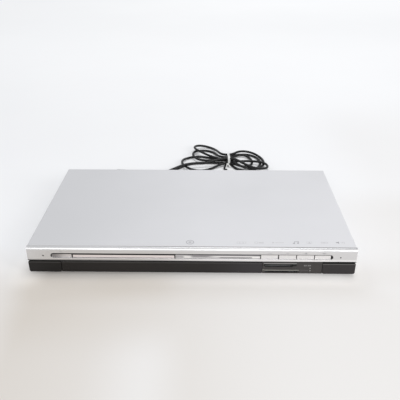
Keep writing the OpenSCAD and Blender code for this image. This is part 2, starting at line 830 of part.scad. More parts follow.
module belt_gear() {
    color("ivory") in_loader() translate([belt_gear_x, drive_y, 0]) difference() {
        union() {
            pulley(pulley_r);
            rotate(180 / pinion_n) gear(pinion_n, drive_m, [pinion_z[0] - 0.1, pinion_z[1]]);
        }
        rod_z(0, 0, [0, case_h], gear_pin_r + bore_gap);
    }
}

module drive_gear() {
    color("ivory") in_loader() translate([drive_x, drive_y, 0]) difference() {
        union() {
            gear(drive_n, drive_m, drive_z);
            gear(rack_gear_n, 1, rack_gear_z);
            rod_z(0, 0, [deck_z + 0.2, rack_gear_z[1]], 5);
        }
        rod_z(0, 0, [0, case_h], gear_pin_r + bore_gap);
    }
}

module cam_slider() {
    color("ivory") in_loader() along_y(cam_y) difference() {
        translate([cam_x[0], cam_z[0]]) square([cam_x[1] - cam_x[0], cam_z[1] - cam_z[0]]);
        for (x = [-pin_x, pin_x]) hull() {
            translate([x, hinge_z]) circle(pin_r + cam_play, $fn = 32);
            translate([x - cam_travel, hinge_z - deck_drop]) circle(pin_r + cam_play, $fn = 32);
        }
    }
}

sled_y = [lens_y - 6.5, lens_y + 12];
feed_pin_r = 1;
feed_shaft_r = 0.8;

module traverse_deck() {
    color("silver") in_loader() difference() {
        union() {
            box([-deck_half, deck_half], deck_y, [deck_z - deck_t, deck_z]);
            for (x = [-pin_x, pin_x]) {
                box([x - 4, x + 4], [deck_y[0], deck_y[0] + 5], [deck_z - deck_t, hinge_z + 2.5]);
                rod_y(x, [cam_y[0] + 0.2, deck_y[0] + 1], hinge_z, pin_r);
            }
            both_sides() {
                box([deck_half - 6, deck_half], [hinge_y - 4, hinge_y + 4], [deck_z - deck_t, hinge_z + 3]);
                rod_x([deck_half - 1, block_x + 3.5], hinge_y, hinge_z, pin_r);
                box([deck_half - 1.5, deck_half], [deck_y[0] + 6, hinge_y - 3.9],
                    [deck_z - 0.1, deck_z + 2.5]);
                for (y = [guide_y[0], guide_y[1] - 2.5]) {
                    box([guide_x - 3, guide_x + 3], [y, y + 2.5], [deck_z - 0.1, guide_z + rod_r + 0.8]);
                }
            }
            rod_z(feed_x, feed_y, [deck_z - 0.5, deck_z + 4.7], feed_pin_r);
        }
        box([-29, 29], [guide_y[0] + 2.5, guide_y[1] - 2.5], [0, deck_z + 0.05]);
        both_sides() rod_y(guide_x, [guide_y[0] - 1, guide_y[1] + 1], guide_z, rod_r + 0.02);
        rod_z(feed_x, feed_motor_y, [0, deck_z + 0.1], 3);
    }
}

module traverse_bushes() {
    color([0.1, 0.1, 0.1]) in_loader() both_sides() difference() {
        rod_x([block_x, block_x + 4.5], hinge_y, hinge_z, bush_r);
        rod_x([block_x - 1, block_x + 5], hinge_y, hinge_z, pin_r + bore_gap);
    }
}

module spindle_motor() {
    color("silver") in_loader() difference() {
        rod_z(0, disc_y, [deck_z, flange_z - 4.5], spindle_r);
        rod_z(0, disc_y, [deck_z + 2, case_h], 1.5 + bore_gap);
    }
}

module turntable() {
    color([0.2, 0.2, 0.22]) in_loader() translate([0, disc_y, 0]) {
        rod_z(0, 0, [deck_z + 2.5, flange_z], 1.5);
        rod_z(0, 0, [flange_z - 4.2, flange_z - 1], table_r - 3);
        rod_z(0, 0, [flange_z - 1.5, flange_z], table_r);
        rod_z(0, 0, [flange_z - 0.1, flange_z + 1.4], hub_r);
        translate([0, 0, flange_z + 1.4]) cylinder(r1 = hub_r, r2 = hub_r - 2, h = 1.1);
    }
}

module guide_rods() {
    color("lightgray") in_loader() both_sides() rod_y(guide_x, guide_y, guide_z, rod_r);
}

module pickup_sled() {
    arm_z = [deck_z + 5.2, deck_z + 7];
    rack_z = [deck_z + 2.8, deck_z + 4.8];
    rack_y = [feed_y - sled_travel - 6, feed_y + 6];
    pitch = PI * feed_m;
    color([0.3, 0.3, 0.32]) in_loader() {
        difference() {
            union() {
                box([-26.4, 26.4], sled_y, [deck_z - 3, guide_z + rod_r + 1.5]);
                box([-11, 11], [sled_y[0], lens_y + 8], [guide_z, deck_z + 7.4]);
                for (y = [lens_y - 5.9, lens_y + 5.9]) {
                    box([-5, 5], [y - 0.6, y + 0.6], [deck_z + 7, flange_z - 3]);
                }
                box([10, sled_rack_x - 0.7 * feed_m - 0.4], sled_y, arm_z);
                box([sled_rack_x - 2.6, sled_rack_x - 1.3 * feed_m], rack_y, [rack_z[0], arm_z[1]]);
            }
            both_sides() rod_y(guide_x, [sled_y[0] - 1, sled_y[1] + 1], guide_z, rod_r + bore_gap);
        }
        translate([sled_rack_x, feed_y, 0]) mirror([1, 0, 0]) {
            rack_teeth(feed_m, -floor((sled_travel + 5) / pitch), 2, rack_z);
        }
    }
}

module objective_lens() {
    z = [flange_z - 5.1, flange_z - 2.6];
    color([0.35, 0.4, 0.6]) in_loader() {
        box([-5.5, 5.5], [lens_y - 4.5, lens_y + 4.5], z);
        translate([0, lens_y, z[1] - 0.1]) cylinder(r1 = 2.8, r2 = 1.8, h = 0.7);
    }
}

module feed_motor() {
    top = deck_z - deck_t;
    color("silver") in_loader() difference() {
        rod_z(feed_x, feed_motor_y, [top - 7.5, top], 8);
        rod_z(feed_x, feed_motor_y, [top - 5, case_h], feed_shaft_r + bore_gap);
    }
}

module feed_gear() {
    color("ivory") in_loader() translate([feed_x, feed_y, 0]) difference() {
        union() {
            gear(feed_big_n, feed_m, [deck_z + 0.2, deck_z + 2.3]);
            gear(feed_n, feed_m, [deck_z + 2.2, deck_z + 4.8]);
        }
        rod_z(0, 0, [0, case_h], feed_pin_r + bore_gap);
    }
}

module feed_pinion() {
    color("goldenrod") in_loader() translate([feed_x, feed_motor_y, 0]) {
        gear(feed_pinion_n, feed_m, [deck_z + 0.3, deck_z + 2.5]);
        rod_z(0, 0, [deck_z - deck_t - 4.5, deck_z + 2.5], feed_shaft_r);
    }
}

ring_r = 10.5;
bridge_half = bridge_boss_x + 3;

module clamp_bridge() {
    color("silver") in_loader() difference() {
        union() {
            box([-bridge_half, bridge_half], [disc_y - 16, disc_y + 16], bridge_z);
            for (y = [disc_y - 16, disc_y + 15]) {
                box([-bridge_half + 8, bridge_half - 8], [y, y + 1], [bridge_z[0], bridge_z[1] + 1.6]);
            }
        }
        rod_z(0, disc_y, [0, case_h], ring_r);
        both_sides() {
            for (y = bridge_boss_y) rod_z(bridge_boss_x, y, [0, case_h], post_bore_r);
            box([24, 56], [disc_y - 9, disc_y + 9], [bridge_z[0] - 1, case_h]);
        }
    }
}

module disc_clamp() {
    ring_top = bridge_z[1] + seat;
    color("ivory") in_loader() translate([0, disc_y, 0]) difference() {
        union() {
            rod_z(0, 0, [puck_z, puck_z + 1.2], table_r);
            rod_z(0, 0, [puck_z, ring_top + 0.1], ring_r - 1.2);
            rod_z(0, 0, [ring_top, ring_top + 1.6], ring_r + 2.5);
        }
        rod_z(0, 0, [0, puck_z + 2.5], hub_r + 0.6);
    }
}

// Board in the frame of the front with holes over its posts
module board(x, y, z, posts) {
    difference() {
        box(x, y, [z, z + board_t]);
        for (at = posts) rod_z(at[0], at[1], [z - 1, z + board_t + 1], screw_r + 0.2);
    }
}

power_top = power_z + board_t;
main_top = main_z + board_t;
transformer_y = [power_y[1] - 90, power_y[1] - 52];
power_mid = (power_x[0] + power_x[1]) / 2;

module power_board() {
    color([0.55, 0.45, 0.25]) in_front() board(power_x, power_y, power_z, power_posts);
}

module transformer() {
    core = [power_mid - 14, power_mid + 14];
    color([0.35, 0.33, 0.3]) in_front() {
        box(core, [transformer_y[0] + 5, transformer_y[1] - 5], [power_top, power_top + 22]);
        box([core[0] + 4, core[1] - 4], transformer_y, [power_top, power_top + 19]);
    }
}

// Parts on the power board: reservoir, choke, fuse, finned heat sink, small capacitors and sockets
module power_parts() {
    color([0.2, 0.22, 0.3]) in_front() {
        rod_z(power_mid - 4, power_y[0] + 76, [power_top, power_top + 25], 9);
        rod_z(power_mid + 12, power_y[0] + 76, [power_top, power_top + 14], 5);
        for (i = [0:3]) rod_z(power_mid - 12 + 8 * i, power_y[0] + 38, [power_top, power_top + 12], 3.5);
        for (i = [0:2]) rod_z(power_mid - 10 + 10 * i, power_y[0] + 26, [power_top, power_top + 15], 4);
        box([power_mid - 13, power_mid + 5], [power_y[1] - 34, power_y[1] - 18], [power_top, power_top + 15]);
        rod_y(power_mid + 14, [power_y[1] - 36, power_y[1] - 16], power_top + 3, 2.6);
        for (i = [0:5]) {
            fin_y = power_y[0] + 50 + 2.6 * i;
            box([power_mid - 14, power_mid + 10], [fin_y, fin_y + 1.2], [power_top, power_top + 20]);
        }
        box([power_mid - 14, power_mid + 10], [power_y[0] + 50, power_y[0] + 64], [power_top, power_top + 3]);
        box([power_mid - 4, power_mid + 8], [power_y[1] - 9, power_y[1] - 1], [power_top, power_top + 9]);
        box(key_plug_x, [power_y[0] + 10, power_y[0] + 15], [power_top, power_top + 6]);
        box([power_x[1] - 8, power_x[1] - 3], link_cable_y, [power_top, power_top + 6]);
    }
}

module main_board() {
    color("darkgreen") in_front() board(main_x, main_y, main_z, main_posts);
}

chip_x = main_x[0] + 70;

// Parts on the main board: decoder under a heat sink, memories, drivers, capacitors, crystal, plugs
module board_parts() {
    z = main_top;
    right = main_x[1];
    color([0.13, 0.13, 0.14]) in_front() {
        box([chip_x, chip_x + 28], [112, 140], [z, z + 2.4]);
        for (i = [0:6]) box([chip_x + 2, chip_x + 26], [114 + 4 * i, 115.4 + 4 * i], [z + 2.3, z + 10]);
        box([chip_x + 2, chip_x + 26], [114, 139.4], [z + 2.3, z + 4]);
        for (i = [0:1]) box([chip_x + 40, chip_x + 52], [106 + 24 * i, 124 + 24 * i], [z, z + 1.4]);
        box([chip_x - 34, chip_x - 16], [100, 112], [z, z + 2.2]);
        box([chip_x - 34, chip_x - 20], [126, 140], [z, z + 1.6]);
        for (x = [right - 73, right - 49]) box([x, x + 10], [case_d - 90, case_d - 74], [z, z + 1.8]);
        box([chip_x + 8, chip_x + 18], [150, 154], [z, z + 4]);
        for (i = [0:7]) rod_z(chip_x - 30 + (right - chip_x - 2) * i / 7, case_d - 50, [z, z + 9], 3.2);
        for (i = [0:5]) rod_z(chip_x - 24 + (right - chip_x - 22) * i / 5, case_d - 64, [z, z + 7], 2.5);
        for (i = [0:3]) rod_z(right - 60 + 14 * i, main_y[0] + 36, [z, z + 11], 4);
        box(front_plug_x, [60, 66], [z, z + 5]);
        box(card_plug_x, [60, 65], [z, z + 4]);
        box([main_x[0] + 2, main_x[0] + 7], link_cable_y, [z, z + 5]);
        box([main_x[0] + 4, main_x[0] + 8], [96, 120], [z, z + 5]);
    }
}

phono_face = case_d + jack_out;
block_y = [case_d - 18, case_d - 2 * sheet_t - 0.1];
block_low = main_top;

// Phono socket: collar in the panel, shell and centre bore
module phono(x, z) {
    difference() {
        union() {
            rod_y(x, [block_y[1] - 1.5, case_d - 0.2], z, phono_ring_r);
            rod_y(x, [case_d - 0.3, phono_face], z, phono_r);
        }
        rod_y(x, [phono_face - 9, phono_face + 1], z, 1.6);
    }
}

module phono_sockets() {
    color([0.75, 0.6, 0.2]) in_front() {
        difference() {
            box([phono_x[0] - 6.8, phono_x[2] + 6.8], block_y, [block_low, phono_z[1] + 5]);
            for (x = phono_x, z = phono_z) rod_y(x, [block_y[1] - 1.5, case_d], z, phono_ring_r);
        }
        for (x = phono_x, z = phono_z) phono(x, z);
    }
}

module av_sockets() {
    y = [case_d - 22, case_d + 1.2];
    color([0.12, 0.12, 0.13]) in_front() for (x = av_x) {
        difference() {
            translate([x, 0, av_z]) along_y(y) av_outline(0);
            translate([x, 0, av_z]) along_y([y[1] - 12, y[1] + 1]) av_outline(-1.6);
        }
        box([x - 19, x + 19], [y[1] - 12.1, y[1] - 1.5], [av_z - 1.8, av_z + 1.8]);
        box([x - 18, x + 22], [y[0], y[0] + 9], [main_top, av_z - av_size[1] / 2 + 0.1]);
    }
}

module digital_sockets() {
    y = [case_d - 15, case_d - 0.1];
    color([0.12, 0.12, 0.13]) in_front() {
        difference() {
            box([coax_x - 6, coax_x + 6], [y[0], block_y[1]], [main_top, optic_z[0] + 0.1]);
            rod_y(coax_x, [block_y[1] - 1.5, case_d], coax_z, phono_ring_r);
        }
        phono(coax_x, coax_z);
        difference() {
            box(optic_x, y, optic_z);
            box([coax_x - 3, coax_x + 3], [y[1] - 8, y[1] + 1], [optic_z[0] + 1.5, optic_z[1] - 1.5]);
        }
    }
}

card_board_x = [card_x + 1, card_x + card_w - 1];
card_board_y = [carrier_y + 1, main_y[0] - 2];

module card_board() {
    color("darkgreen") in_front() {
        board(card_board_x, card_board_y, card_board_z, card_posts);
        box(card_plug_x, [card_board_y[1] - 5, card_board_y[1]],
            [card_board_z + board_t, card_board_z + board_t + 4]);
        rod_y(card_lamp_x, [carrier_y + 1.1, carrier_y + 6], card_board_z + board_t + 1.4, 1.4);
    }
}

// Card cage with a slot open to the front
module card_cage(w, z, slot_bottom) {
    y = [carrier_y + 1, carrier_y + 35];
    difference() {
        box([card_slot_x - 1.5, card_slot_x + w + 1.5], y, z);
        box([card_slot_x, card_slot_x + w], [y[0] - 1, y[1] - 4], [slot_bottom, slot_bottom + card_slot_h]);
    }
}

module card_sockets() {
    color("silver") in_front() {
        card_cage(card_top_w, [card_board_z + board_t, card_top_z + card_slot_h + 0.8], card_top_z);
        card_cage(card_low_w, [floor_z + 0.2, card_board_z], card_low_z);
    }
}

ribbon_t = 0.8;

// Ribbon cable seen from the side, along hand-set points, with thickness upwards
function ribbon(points) = concat(points, [for (i = [len(points) - 1:-1:0]) points[i] + [0, ribbon_t]]);

module ribbon_cables() {
    z = main_top;
    link_x = [power_x[1] - 3, main_x[0] + 2];
    color([0.7, 0.7, 0.72]) in_front() {
        along_x([front_plug_x[0] + 1, front_plug_x[1] - 1]) polygon(ribbon([
            [board_back + 4, front_plug_z[0] + 3], [30, front_plug_z[0] + 2], [46, z + 5], [60, z + 3]]));
        along_x([key_plug_x[0] + 1, key_plug_x[1] - 1]) polygon(ribbon([
            [board_back + 4, front_plug_z[0] + 3], [24, front_plug_z[0] + 1], [34, power_top + 3]]));
        along_x([card_plug_x[0] + 1, card_plug_x[1] - 1]) polygon(ribbon([
            [card_board_y[1], card_board_z + board_t + 2], [60, z + 2]]));
        along_y([link_cable_y[0] + 1, link_cable_y[1] - 1]) polygon(ribbon([
            [link_x[0], power_top + 3], [link_x[0] + 14, floor_z + 2],
            [link_x[1] - 14, floor_z + 2], [link_x[1], z + 3]]));
    }
}

module upright_screw(at, z, length) {
    translate([at[0], at[1], z]) screw(length, screw_head_r, screw_r);
}

module inner_screws() {
    color("silver") in_front() {
        for (at = main_posts) upright_screw(at, main_top, board_t + 5);
        for (at = power_posts) upright_screw(at, power_top, board_t + 4);
        for (at = card_posts) upright_screw(at, card_board_z + board_t, board_t + 4);
        for (at = loader_feet) upright_screw(at, loader_foot_z, 5.6);
        for (x = [-bridge_boss_x, bridge_boss_x], y = bridge_boss_y) {
            upright_screw([loader_x + x, y], bridge_z[1], 6);
        }
        for (x = concat(front_post_x, key_post_x)) {
            translate([x, board_back, front_post_z]) rotate([-90, 0, 0]) {
                screw(board_t + 5, screw_head_r - 0.6, screw_r);
            }
        }
    }
}

// Mains lead
relief_neck_r = 4;

module strain_relief() {
    inner = case_d - 2 * sheet_t;
    color([0.1, 0.1, 0.1]) in_front() {
        rod_y(relief_x, [inner - 3, inner], relief_z, relief_neck_r + 1.6);
        rod_y(relief_x, [inner - 0.1, case_d - sheet_t + 0.1], relief_z, relief_neck_r);
        rod_y(relief_x, [case_d - sheet_t, case_d + 1.6], relief_z, relief_neck_r + 1.8);
        translate([relief_x, case_d + 1.5, relief_z]) rotate([-90, 0, 0]) {
            cylinder(r1 = relief_neck_r + 0.4, r2 = lead_r + 0.6, h = relief_l - 1.5);
        }
    }
}

lead_z = lead_r + 0.1;
relief_end = rear_y + relief_l;
plug_x = [-144, -108];
plug_y = 160;
plug_h = 13.7;

// Route of the lead from the strain relief to the hank, and from the hank to the plug
route_in = [
    [relief_x, relief_end - 0.3, relief_z], [relief_x, 150, 12.4], [relief_x, 160, 9], [-182.5, 171.5, 5.4],
    [-176, 181, 3.2], [-166.5, 187.5, lead_z], [-155, 190, lead_z], [-135, 190.5, lead_z],
    [-115, 190.5, lead_z], [-95, 190.5, lead_z], [-77, 191.5, lead_z], [-61, 194.5, lead_z],
    [-48, 200.5, lead_z], [-38, 209, lead_z], [-29.6, 220.6, lead_z]
];
route_out = [
    [-23.6, 213.4, lead_z], [-32, 204, lead_z], [-41, 196, lead_z], [-53, 188, lead_z], [-65, 181, lead_z],
    [-77, 174.5, lead_z + 0.6], [-88, 167, lead_z + 2.6], [-98.5, 162, plug_h / 2 - 0.4],
    [plug_x[1] - 0.3, plug_y, plug_h / 2]
];

// One ring of the lead at point i of a route, square to its direction
function ring_points(route, i, r, sides) =
    let (
        a = route[max(i - 1, 0)],
        b = route[min(i + 1, len(route) - 1)],
        t = (b - a) / norm(b - a),
        side = cross(t, [0, 0, 1]) / norm(cross(t, [0, 0, 1])),
        up = cross(side, t)
    )
    [for (k = [0:sides - 1]) let (turn = (k + 0.5) * 360 / sides)
        route[i] + r * (cos(turn) * side + sin(turn) * up)];

module tube(route, r) {
    sides = 8;
    last = len(route) - 1;
    points = [for (i = [0:last]) each ring_points(route, i, r, sides)];
    walls = [for (i = [0:last - 1], k = [0:sides - 1])
        [i * sides + k, i * sides + (k + 1) % sides, (i + 1) * sides + (k + 1) % sides, (i + 1) * sides + k]];
    caps = [[for (k = [sides - 1:-1:0]) k], [for (k = [0:sides - 1]) last * sides + k]];
    polyhedron(points, concat(walls, caps));
}

module mains_lead() {
    color([0.1, 0.1, 0.1]) {
        tube(route_in, lead_r);
        tube(route_out, lead_r);
    }
}

// Places and radii of the hank's round ends, seen from above, with the tied neck between them
hank_left = [[-3, 236, 31], [14, 297, 22]];
hank_right = [[93, 262, 28], [107, 232, 28]];
neck = [60, 241, 12];
neck_half = 10;
tie_x = [58, 62];
tie_t = 0.8;
hank_h = 12;
hank_z = [tie_t + 0.1, tie_t + 0.1 + hank_h];

module hank_lobe(ends) {
    hull() for (c = concat(ends, [neck])) translate([c[0], c[1]]) circle(c[2], $fn = 32);
}

module lead_hank() {
    color([0.1, 0.1, 0.1]) translate([0, 0, hank_z[0]]) linear_extrude(hank_h) difference() {
        union() {
            hank_lobe(hank_left);
            hank_lobe(hank_right);
        }
        for (side = [-1, 1]) translate([tie_x[0] - 0.5, neck[1] + side * (neck_half + 20) - 20]) {
            square([tie_x[1] - tie_x[0] + 1, 40]);
        }
    }
}

module lead_tie() {
    gap = 0.1;
    half = neck_half + gap;
    color("white") difference() {
        box(tie_x, [neck[1] - half - tie_t, neck[1] + half + tie_t], [0, hank_z[1] + gap + tie_t]);
        box([tie_x[0] - 1, tie_x[1] + 1], [neck[1] - half, neck[1] + half], [tie_t, hank_z[1] + gap]);
    }
}

module mains_plug() {
    half = 17.5;
    neck_half = 5.5;
    shoulder = 11;
    color([0.1, 0.1, 0.1]) {
        translate([0, plug_y, 0]) linear_extrude(plug_h) polygon([
            [plug_x[1], -neck_half], [plug_x[1], neck_half], [plug_x[1] - shoulder, half - 1],
            [plug_x[0] + 1, half], [plug_x[0], half - 1], [plug_x[0], 1 - half], [plug_x[0] + 1, -half],
            [plug_x[1] - shoulder, 1 - half]]);
        for (side = [-1, 1]) rod_x([plug_x[0] - 19, plug_x[0] + 0.1], plug_y + side * 9.3, plug_h / 2, 2);
    }
}

chassis_base();
feet();
foot_pads();
rear_panel();
top_cover();
cover_screws();
front_bezel();
front_carrier();
lower_fascia();
left_end_block();
right_end_block();
card_bezel();
display_window();
indicator_lenses();
power_button();
open_button();
play_button();
stop_button();
skip_button();
front_boards();
display_module();
tact_switches();
loader_frame();
disc_tray();
tray_door();
tray_motor();
motor_pulley();
tray_belt();
belt_gear();
drive_gear();
cam_slider();
traverse_deck();
traverse_bushes();
spindle_motor();
turntable();
guide_rods();
pickup_sled();
objective_lens();
feed_motor();
feed_gear();
feed_pinion();
clamp_bridge();
disc_clamp();
power_board();
power_parts();
transformer();
main_board();
board_parts();
phono_sockets();
av_sockets();
digital_sockets();
card_board();
card_sockets();
ribbon_cables();
inner_screws();
strain_relief();
mains_lead();
lead_hank();
lead_tie();
mains_plug();
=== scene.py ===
import math

import bmesh
import bpy
import numpy as np
from mathutils import Matrix, Vector


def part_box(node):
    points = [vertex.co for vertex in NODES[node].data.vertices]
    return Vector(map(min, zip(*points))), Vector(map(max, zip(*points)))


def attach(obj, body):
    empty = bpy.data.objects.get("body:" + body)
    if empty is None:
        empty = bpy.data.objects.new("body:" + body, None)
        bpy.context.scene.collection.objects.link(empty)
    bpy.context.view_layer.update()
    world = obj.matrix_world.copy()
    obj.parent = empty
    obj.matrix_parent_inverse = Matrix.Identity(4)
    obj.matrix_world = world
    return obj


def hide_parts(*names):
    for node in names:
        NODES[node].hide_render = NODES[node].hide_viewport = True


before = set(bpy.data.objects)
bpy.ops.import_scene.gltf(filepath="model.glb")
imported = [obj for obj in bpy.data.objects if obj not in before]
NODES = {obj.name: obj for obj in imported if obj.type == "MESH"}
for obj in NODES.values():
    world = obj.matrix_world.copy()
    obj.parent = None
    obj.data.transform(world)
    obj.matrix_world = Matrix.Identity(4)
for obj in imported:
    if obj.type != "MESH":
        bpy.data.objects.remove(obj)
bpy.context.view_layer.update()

MM = 0.001
scene = bpy.context.scene
scene.view_settings.view_transform = "Standard"


# ---------------------------------------------------------------- places on the player, in millimetres

def lowest(name, axis):
    """Lowest place of a CAD node along x, y or z."""
    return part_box(name)[0]["xyz".index(axis)] / MM


def highest(name, axis):
    """Highest place of a CAD node along x, y or z."""
    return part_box(name)[1]["xyz".index(axis)] / MM


def centre(name, axis):
    """Middle of a CAD node along x, y or z."""
    return (lowest(name, axis) + highest(name, axis)) / 2


COVER_TOP = highest("top_cover", "z")
FACE_Y = lowest("front_bezel", "y")
# Painted shade on the silver face: a dark band along its foot, at the seam with the cover, and on the lip
# under the slot
FACE_SHADE_Z = lowest("front_bezel", "z") + 0.5
SEAM_SHADE_Y = (-122.6, -121.6)
LIP_SHADE_Z = (24, 23.4)

BARS = (
    "power_button", "tray_door", "display_window",
    "open_button", "play_button", "stop_button", "skip_button",
)
BAR_CLEAR = 0.35
SLOT_END = highest("skip_button", "x") + BAR_CLEAR
SLOT_LOW = lowest("skip_button", "z") - BAR_CLEAR
SLOT_HIGH = highest("skip_button", "z") + BAR_CLEAR
# Half widths of the black painted shade at the gaps between the bars, from the left
GAP_SHADE_HALVES = (0.85, 0.9, 0.65, 0.7, 0.55, 0.5)
# Middle and half width of the painted shade at each gap
BAR_GAP_SHADES = [
    ((highest(one, "x") + lowest(two, "x")) / 2, half)
    for one, two, half in zip(BARS, BARS[1:], GAP_SHADE_HALVES)
]
# Middle and half width of the painted shade at the slot's right end
SLOT_END_SHADE = (182.9, 1.5)

# Painted highlight lines on the black pieces: where each starts, is full, fades and ends
STRIP_HIGHLIGHT_Z = (18.4, 18.9, 19.3, 19.7)
BLOCK_HIGHLIGHT_Z = (18.2, 18.7, 19.2, 19.6)
# Painted shade along the tops of the black pieces: where each starts and is full
STRIP_GAP_SHADE_Z = (20.3, 20.8)
BLOCK_TOP_SHADE_Z = (19.6, 20.2)
CARD_RECESS = 0.6
CARD_FACE_Y = lowest("card_bezel", "y") + CARD_RECESS
# Card face: painted shade in the mouth of its slots, painted highlights on the rim above and the ledge
# below
CARD_MOUTH_X = (95, 138)
CARD_MOUTH_SHADE_Z = (14.8, 15.2, 18.2, 18.6)
CARD_RIM_HIGHLIGHT_Z = (18.6, 19.7)
CARD_LEDGE_HIGHLIGHT_Z = (8.25, 9.95)
CARD_LEDGE_HIGHLIGHT_END = 141.6

JACK_PITCH = 14
JACK_X = [centre("phono_sockets", "x") + step * JACK_PITCH for step in (-1, 0, 1)]
JACK_LOW_Z = 17.2
JACK_HIGH_Z = 28.7
JACK_FACE_Y = 113.6
JACK_SHELL_R = 5.15
JACK_COLOUR_R = 2.9
JACK_HOLE_R = 1.7
JACK_HOLE_END = 123
COAX_X = centre("digital_sockets", "x")
COAX_Z = 20.2
SCART_RIM_Y = 116.2
SCART_TONGUE_Y = (104, 115.9)
SCART_TONGUE_Z = (23.4, 27.2)
SCART_PITCH = 1.9

TRAY_RECESS_Z = (28, 32)
CAN_TOP_HALF = 0.06
CAN_TOPS = (22.8, 20.8, 24.8)
POWER_CAN_TOPS = (35.8, 24.8, 22.8, 25.8)
HEAT_SINK_Y = (-50.1, -35.5)
CHOKE_TAPE_Y = (66, 82.8)
WINDING_Y = (15.3, 43.5)
CORE_SHEET_PITCH = 1.05
RIBBON_PITCH = 1.27
PIN_BARE_X = -153
GRIP_X = (-134, -121)
GRIP_PITCH = 2.6


# ---------------------------------------------------------------- camera

CAMERA_AT = (0.02073, -0.70297, 0.42371)
CAMERA_DOWN = math.radians(28.199)
CAMERA_LEFT = math.radians(0.923)
CAMERA_ROLL = math.radians(-0.072)
CAMERA_LENS = 48.146
CAMERA_SENSOR = 36
CAMERA_REACH = 50


def set_up_camera():
    """Camera over the front edge, looking down on the cover."""
    ahead = Vector((
        -math.sin(CAMERA_LEFT) * math.cos(CAMERA_DOWN),
        math.cos(CAMERA_LEFT) * math.cos(CAMERA_DOWN),
        -math.sin(CAMERA_DOWN),
    ))
    level = Vector((math.cos(CAMERA_LEFT), math.sin(CAMERA_LEFT), 0))
    upright = level.cross(ahead)
    right = math.cos(CAMERA_ROLL) * level + math.sin(CAMERA_ROLL) * upright
    up = math.cos(CAMERA_ROLL) * upright - math.sin(CAMERA_ROLL) * level
    lens = bpy.data.cameras.new("camera")
    lens.lens = CAMERA_LENS
    lens.sensor_width = CAMERA_SENSOR
    lens.sensor_fit = "HORIZONTAL"
    lens.clip_end = CAMERA_REACH
    camera = bpy.data.objects.new("camera", lens)
    turn = Matrix((right, up, -ahead)).transposed()
    camera.matrix_world = Matrix.Translation(CAMERA_AT) @ turn.to_4x4()
    scene.collection.objects.link(camera)
    scene.camera = camera


set_up_camera()


# ---------------------------------------------------------------- node helpers

def tint(red, green, blue):
    """Screen colour from 0 to 255 as a linear colour."""
    def linear(value):
        value = value / 255
        return value / 12.92 if value <= 0.04045 else ((value + 0.055) / 1.055) ** 2.4
    return (linear(red), linear(green), linear(blue), 1)


def shade(colour, share):
    """The same colour, darker or lighter."""
    return [min(1, v * share) for v in colour[:3]] + [1]


def pick(mask, off, on):
    """The number off where the mask is 0, and on where it is 1."""
    return off + mask * (on - off)


class Wire:
    """Output of one node; arithmetic on it adds Math nodes, and | takes the larger value."""

    def __init__(self, nodes, socket):
        self.nodes = nodes
        self.socket = socket

    def maths(self, operation, one, two):
        return self.nodes.add("Math", {"operation": operation}, (one, two))

    def __add__(self, other):
        return self.maths("ADD", self, other)

    def __sub__(self, other):
        return self.maths("SUBTRACT", self, other)

    def __rsub__(self, other):
        return self.maths("SUBTRACT", other, self)

    def __mul__(self, other):
        return self.maths("MULTIPLY", self, other)

    def __or__(self, other):
        return self.maths("MAXIMUM", self, other)

    def __gt__(self, other):
        return self.maths("GREATER_THAN", self, other)

    def __lt__(self, other):
        return self.maths("LESS_THAN", self, other)

    __radd__ = __add__
    __rmul__ = __mul__
    __ror__ = __or__


class Nodes:
    """Node tree, with one way to add a node to it."""

    def __init__(self, tree):
        self.tree = tree
        self.tree.nodes.clear()

    def add(self, kind, settings=None, sockets=(), take=0):
        """New node: its settings first, then the values or links of its sockets."""
        node = self.tree.nodes.new("ShaderNode" + kind)
        for name, value in (settings or {}).items():
            setattr(node, name, value)
        pairs = sockets.items() if isinstance(sockets, dict) else enumerate(sockets)
        for key, value in pairs:
            if isinstance(value, Wire):
                self.tree.links.new(value.socket, node.inputs[key])
            else:
                node.inputs[key].default_value = value
        return Wire(self, node.outputs[take]) if node.outputs else None


class Finish(Nodes):
    """Material of one of the player's surfaces; lengths in its patterns are millimetres."""

    def __init__(self, name):
        self.material = bpy.data.materials.new(name)
        self.material.use_nodes = True
        super().__init__(self.material.node_tree)
        seat = self.add("TexCoord", take="Object")
        self.at = self.add("VectorMath", {"operation": "SCALE"}, {"Vector": seat, "Scale": 1 / MM})
        split = self.add("SeparateXYZ", None, [self.at])
        self.x, self.y, self.z = (Wire(self, out) for out in split.socket.node.outputs)

    def noise(self, size, detail=2.0, stretch=(1, 1, 1)):
        """Clouds of about the given size."""
        place = self.add("VectorMath", {"operation": "MULTIPLY"}, [self.at, stretch])
        return self.add("TexNoise", None, {"Vector": place, "Scale": 1 / size, "Detail": detail})

    def cells(self, size, feature="F1", take="Distance", stretch=(1, 1, 1)):
        """Cells of about the given size."""
        place = self.add("VectorMath", {"operation": "MULTIPLY"}, [self.at, stretch])
        return self.add("TexVoronoi", {"feature": feature}, {"Vector": place, "Scale": 1 / size}, take)

    def wave(self, value, pitch):
        """Wave from -1 to 1 along one axis."""
        return self.add("Math", {"operation": "SINE"}, [value * (2 * math.pi / pitch)])

    def mix(self, factor, low, high):
        return self.add("Mix", {"data_type": "RGBA"}, {0: factor, 6: low, 7: high}, take=2)

    def within(self, value, low, high):
        """1 where the value lies between low and high."""
        return (value > low) * (value < high)

    def smooth_step(self, value, low, high):
        settings = {"interpolation_type": "SMOOTHSTEP"}
        return self.add("MapRange", settings, {"Value": value, "From Min": low, "From Max": high})

    def patch(self, value, start, full, fade, end):
        """Rises softly from start to full, and falls softly from fade to end."""
        return self.smooth_step(value, start, full) * self.smooth_step(value, end, fade)

    def bump(self, height, depth):
        return self.add("Bump", None, {"Height": height, "Distance": depth * MM})

    def surface(self, sockets):
        shader = self.add("BsdfPrincipled", None, sockets)
        self.add("OutputMaterial", None, {"Surface": shader})
        return self.material


def dress(material, *nodes):
    """Gives CAD nodes their finish."""
    for name in nodes:
        for place in NODES[name].material_slots:
            place.material = material


# ---------------------------------------------------------------- cord

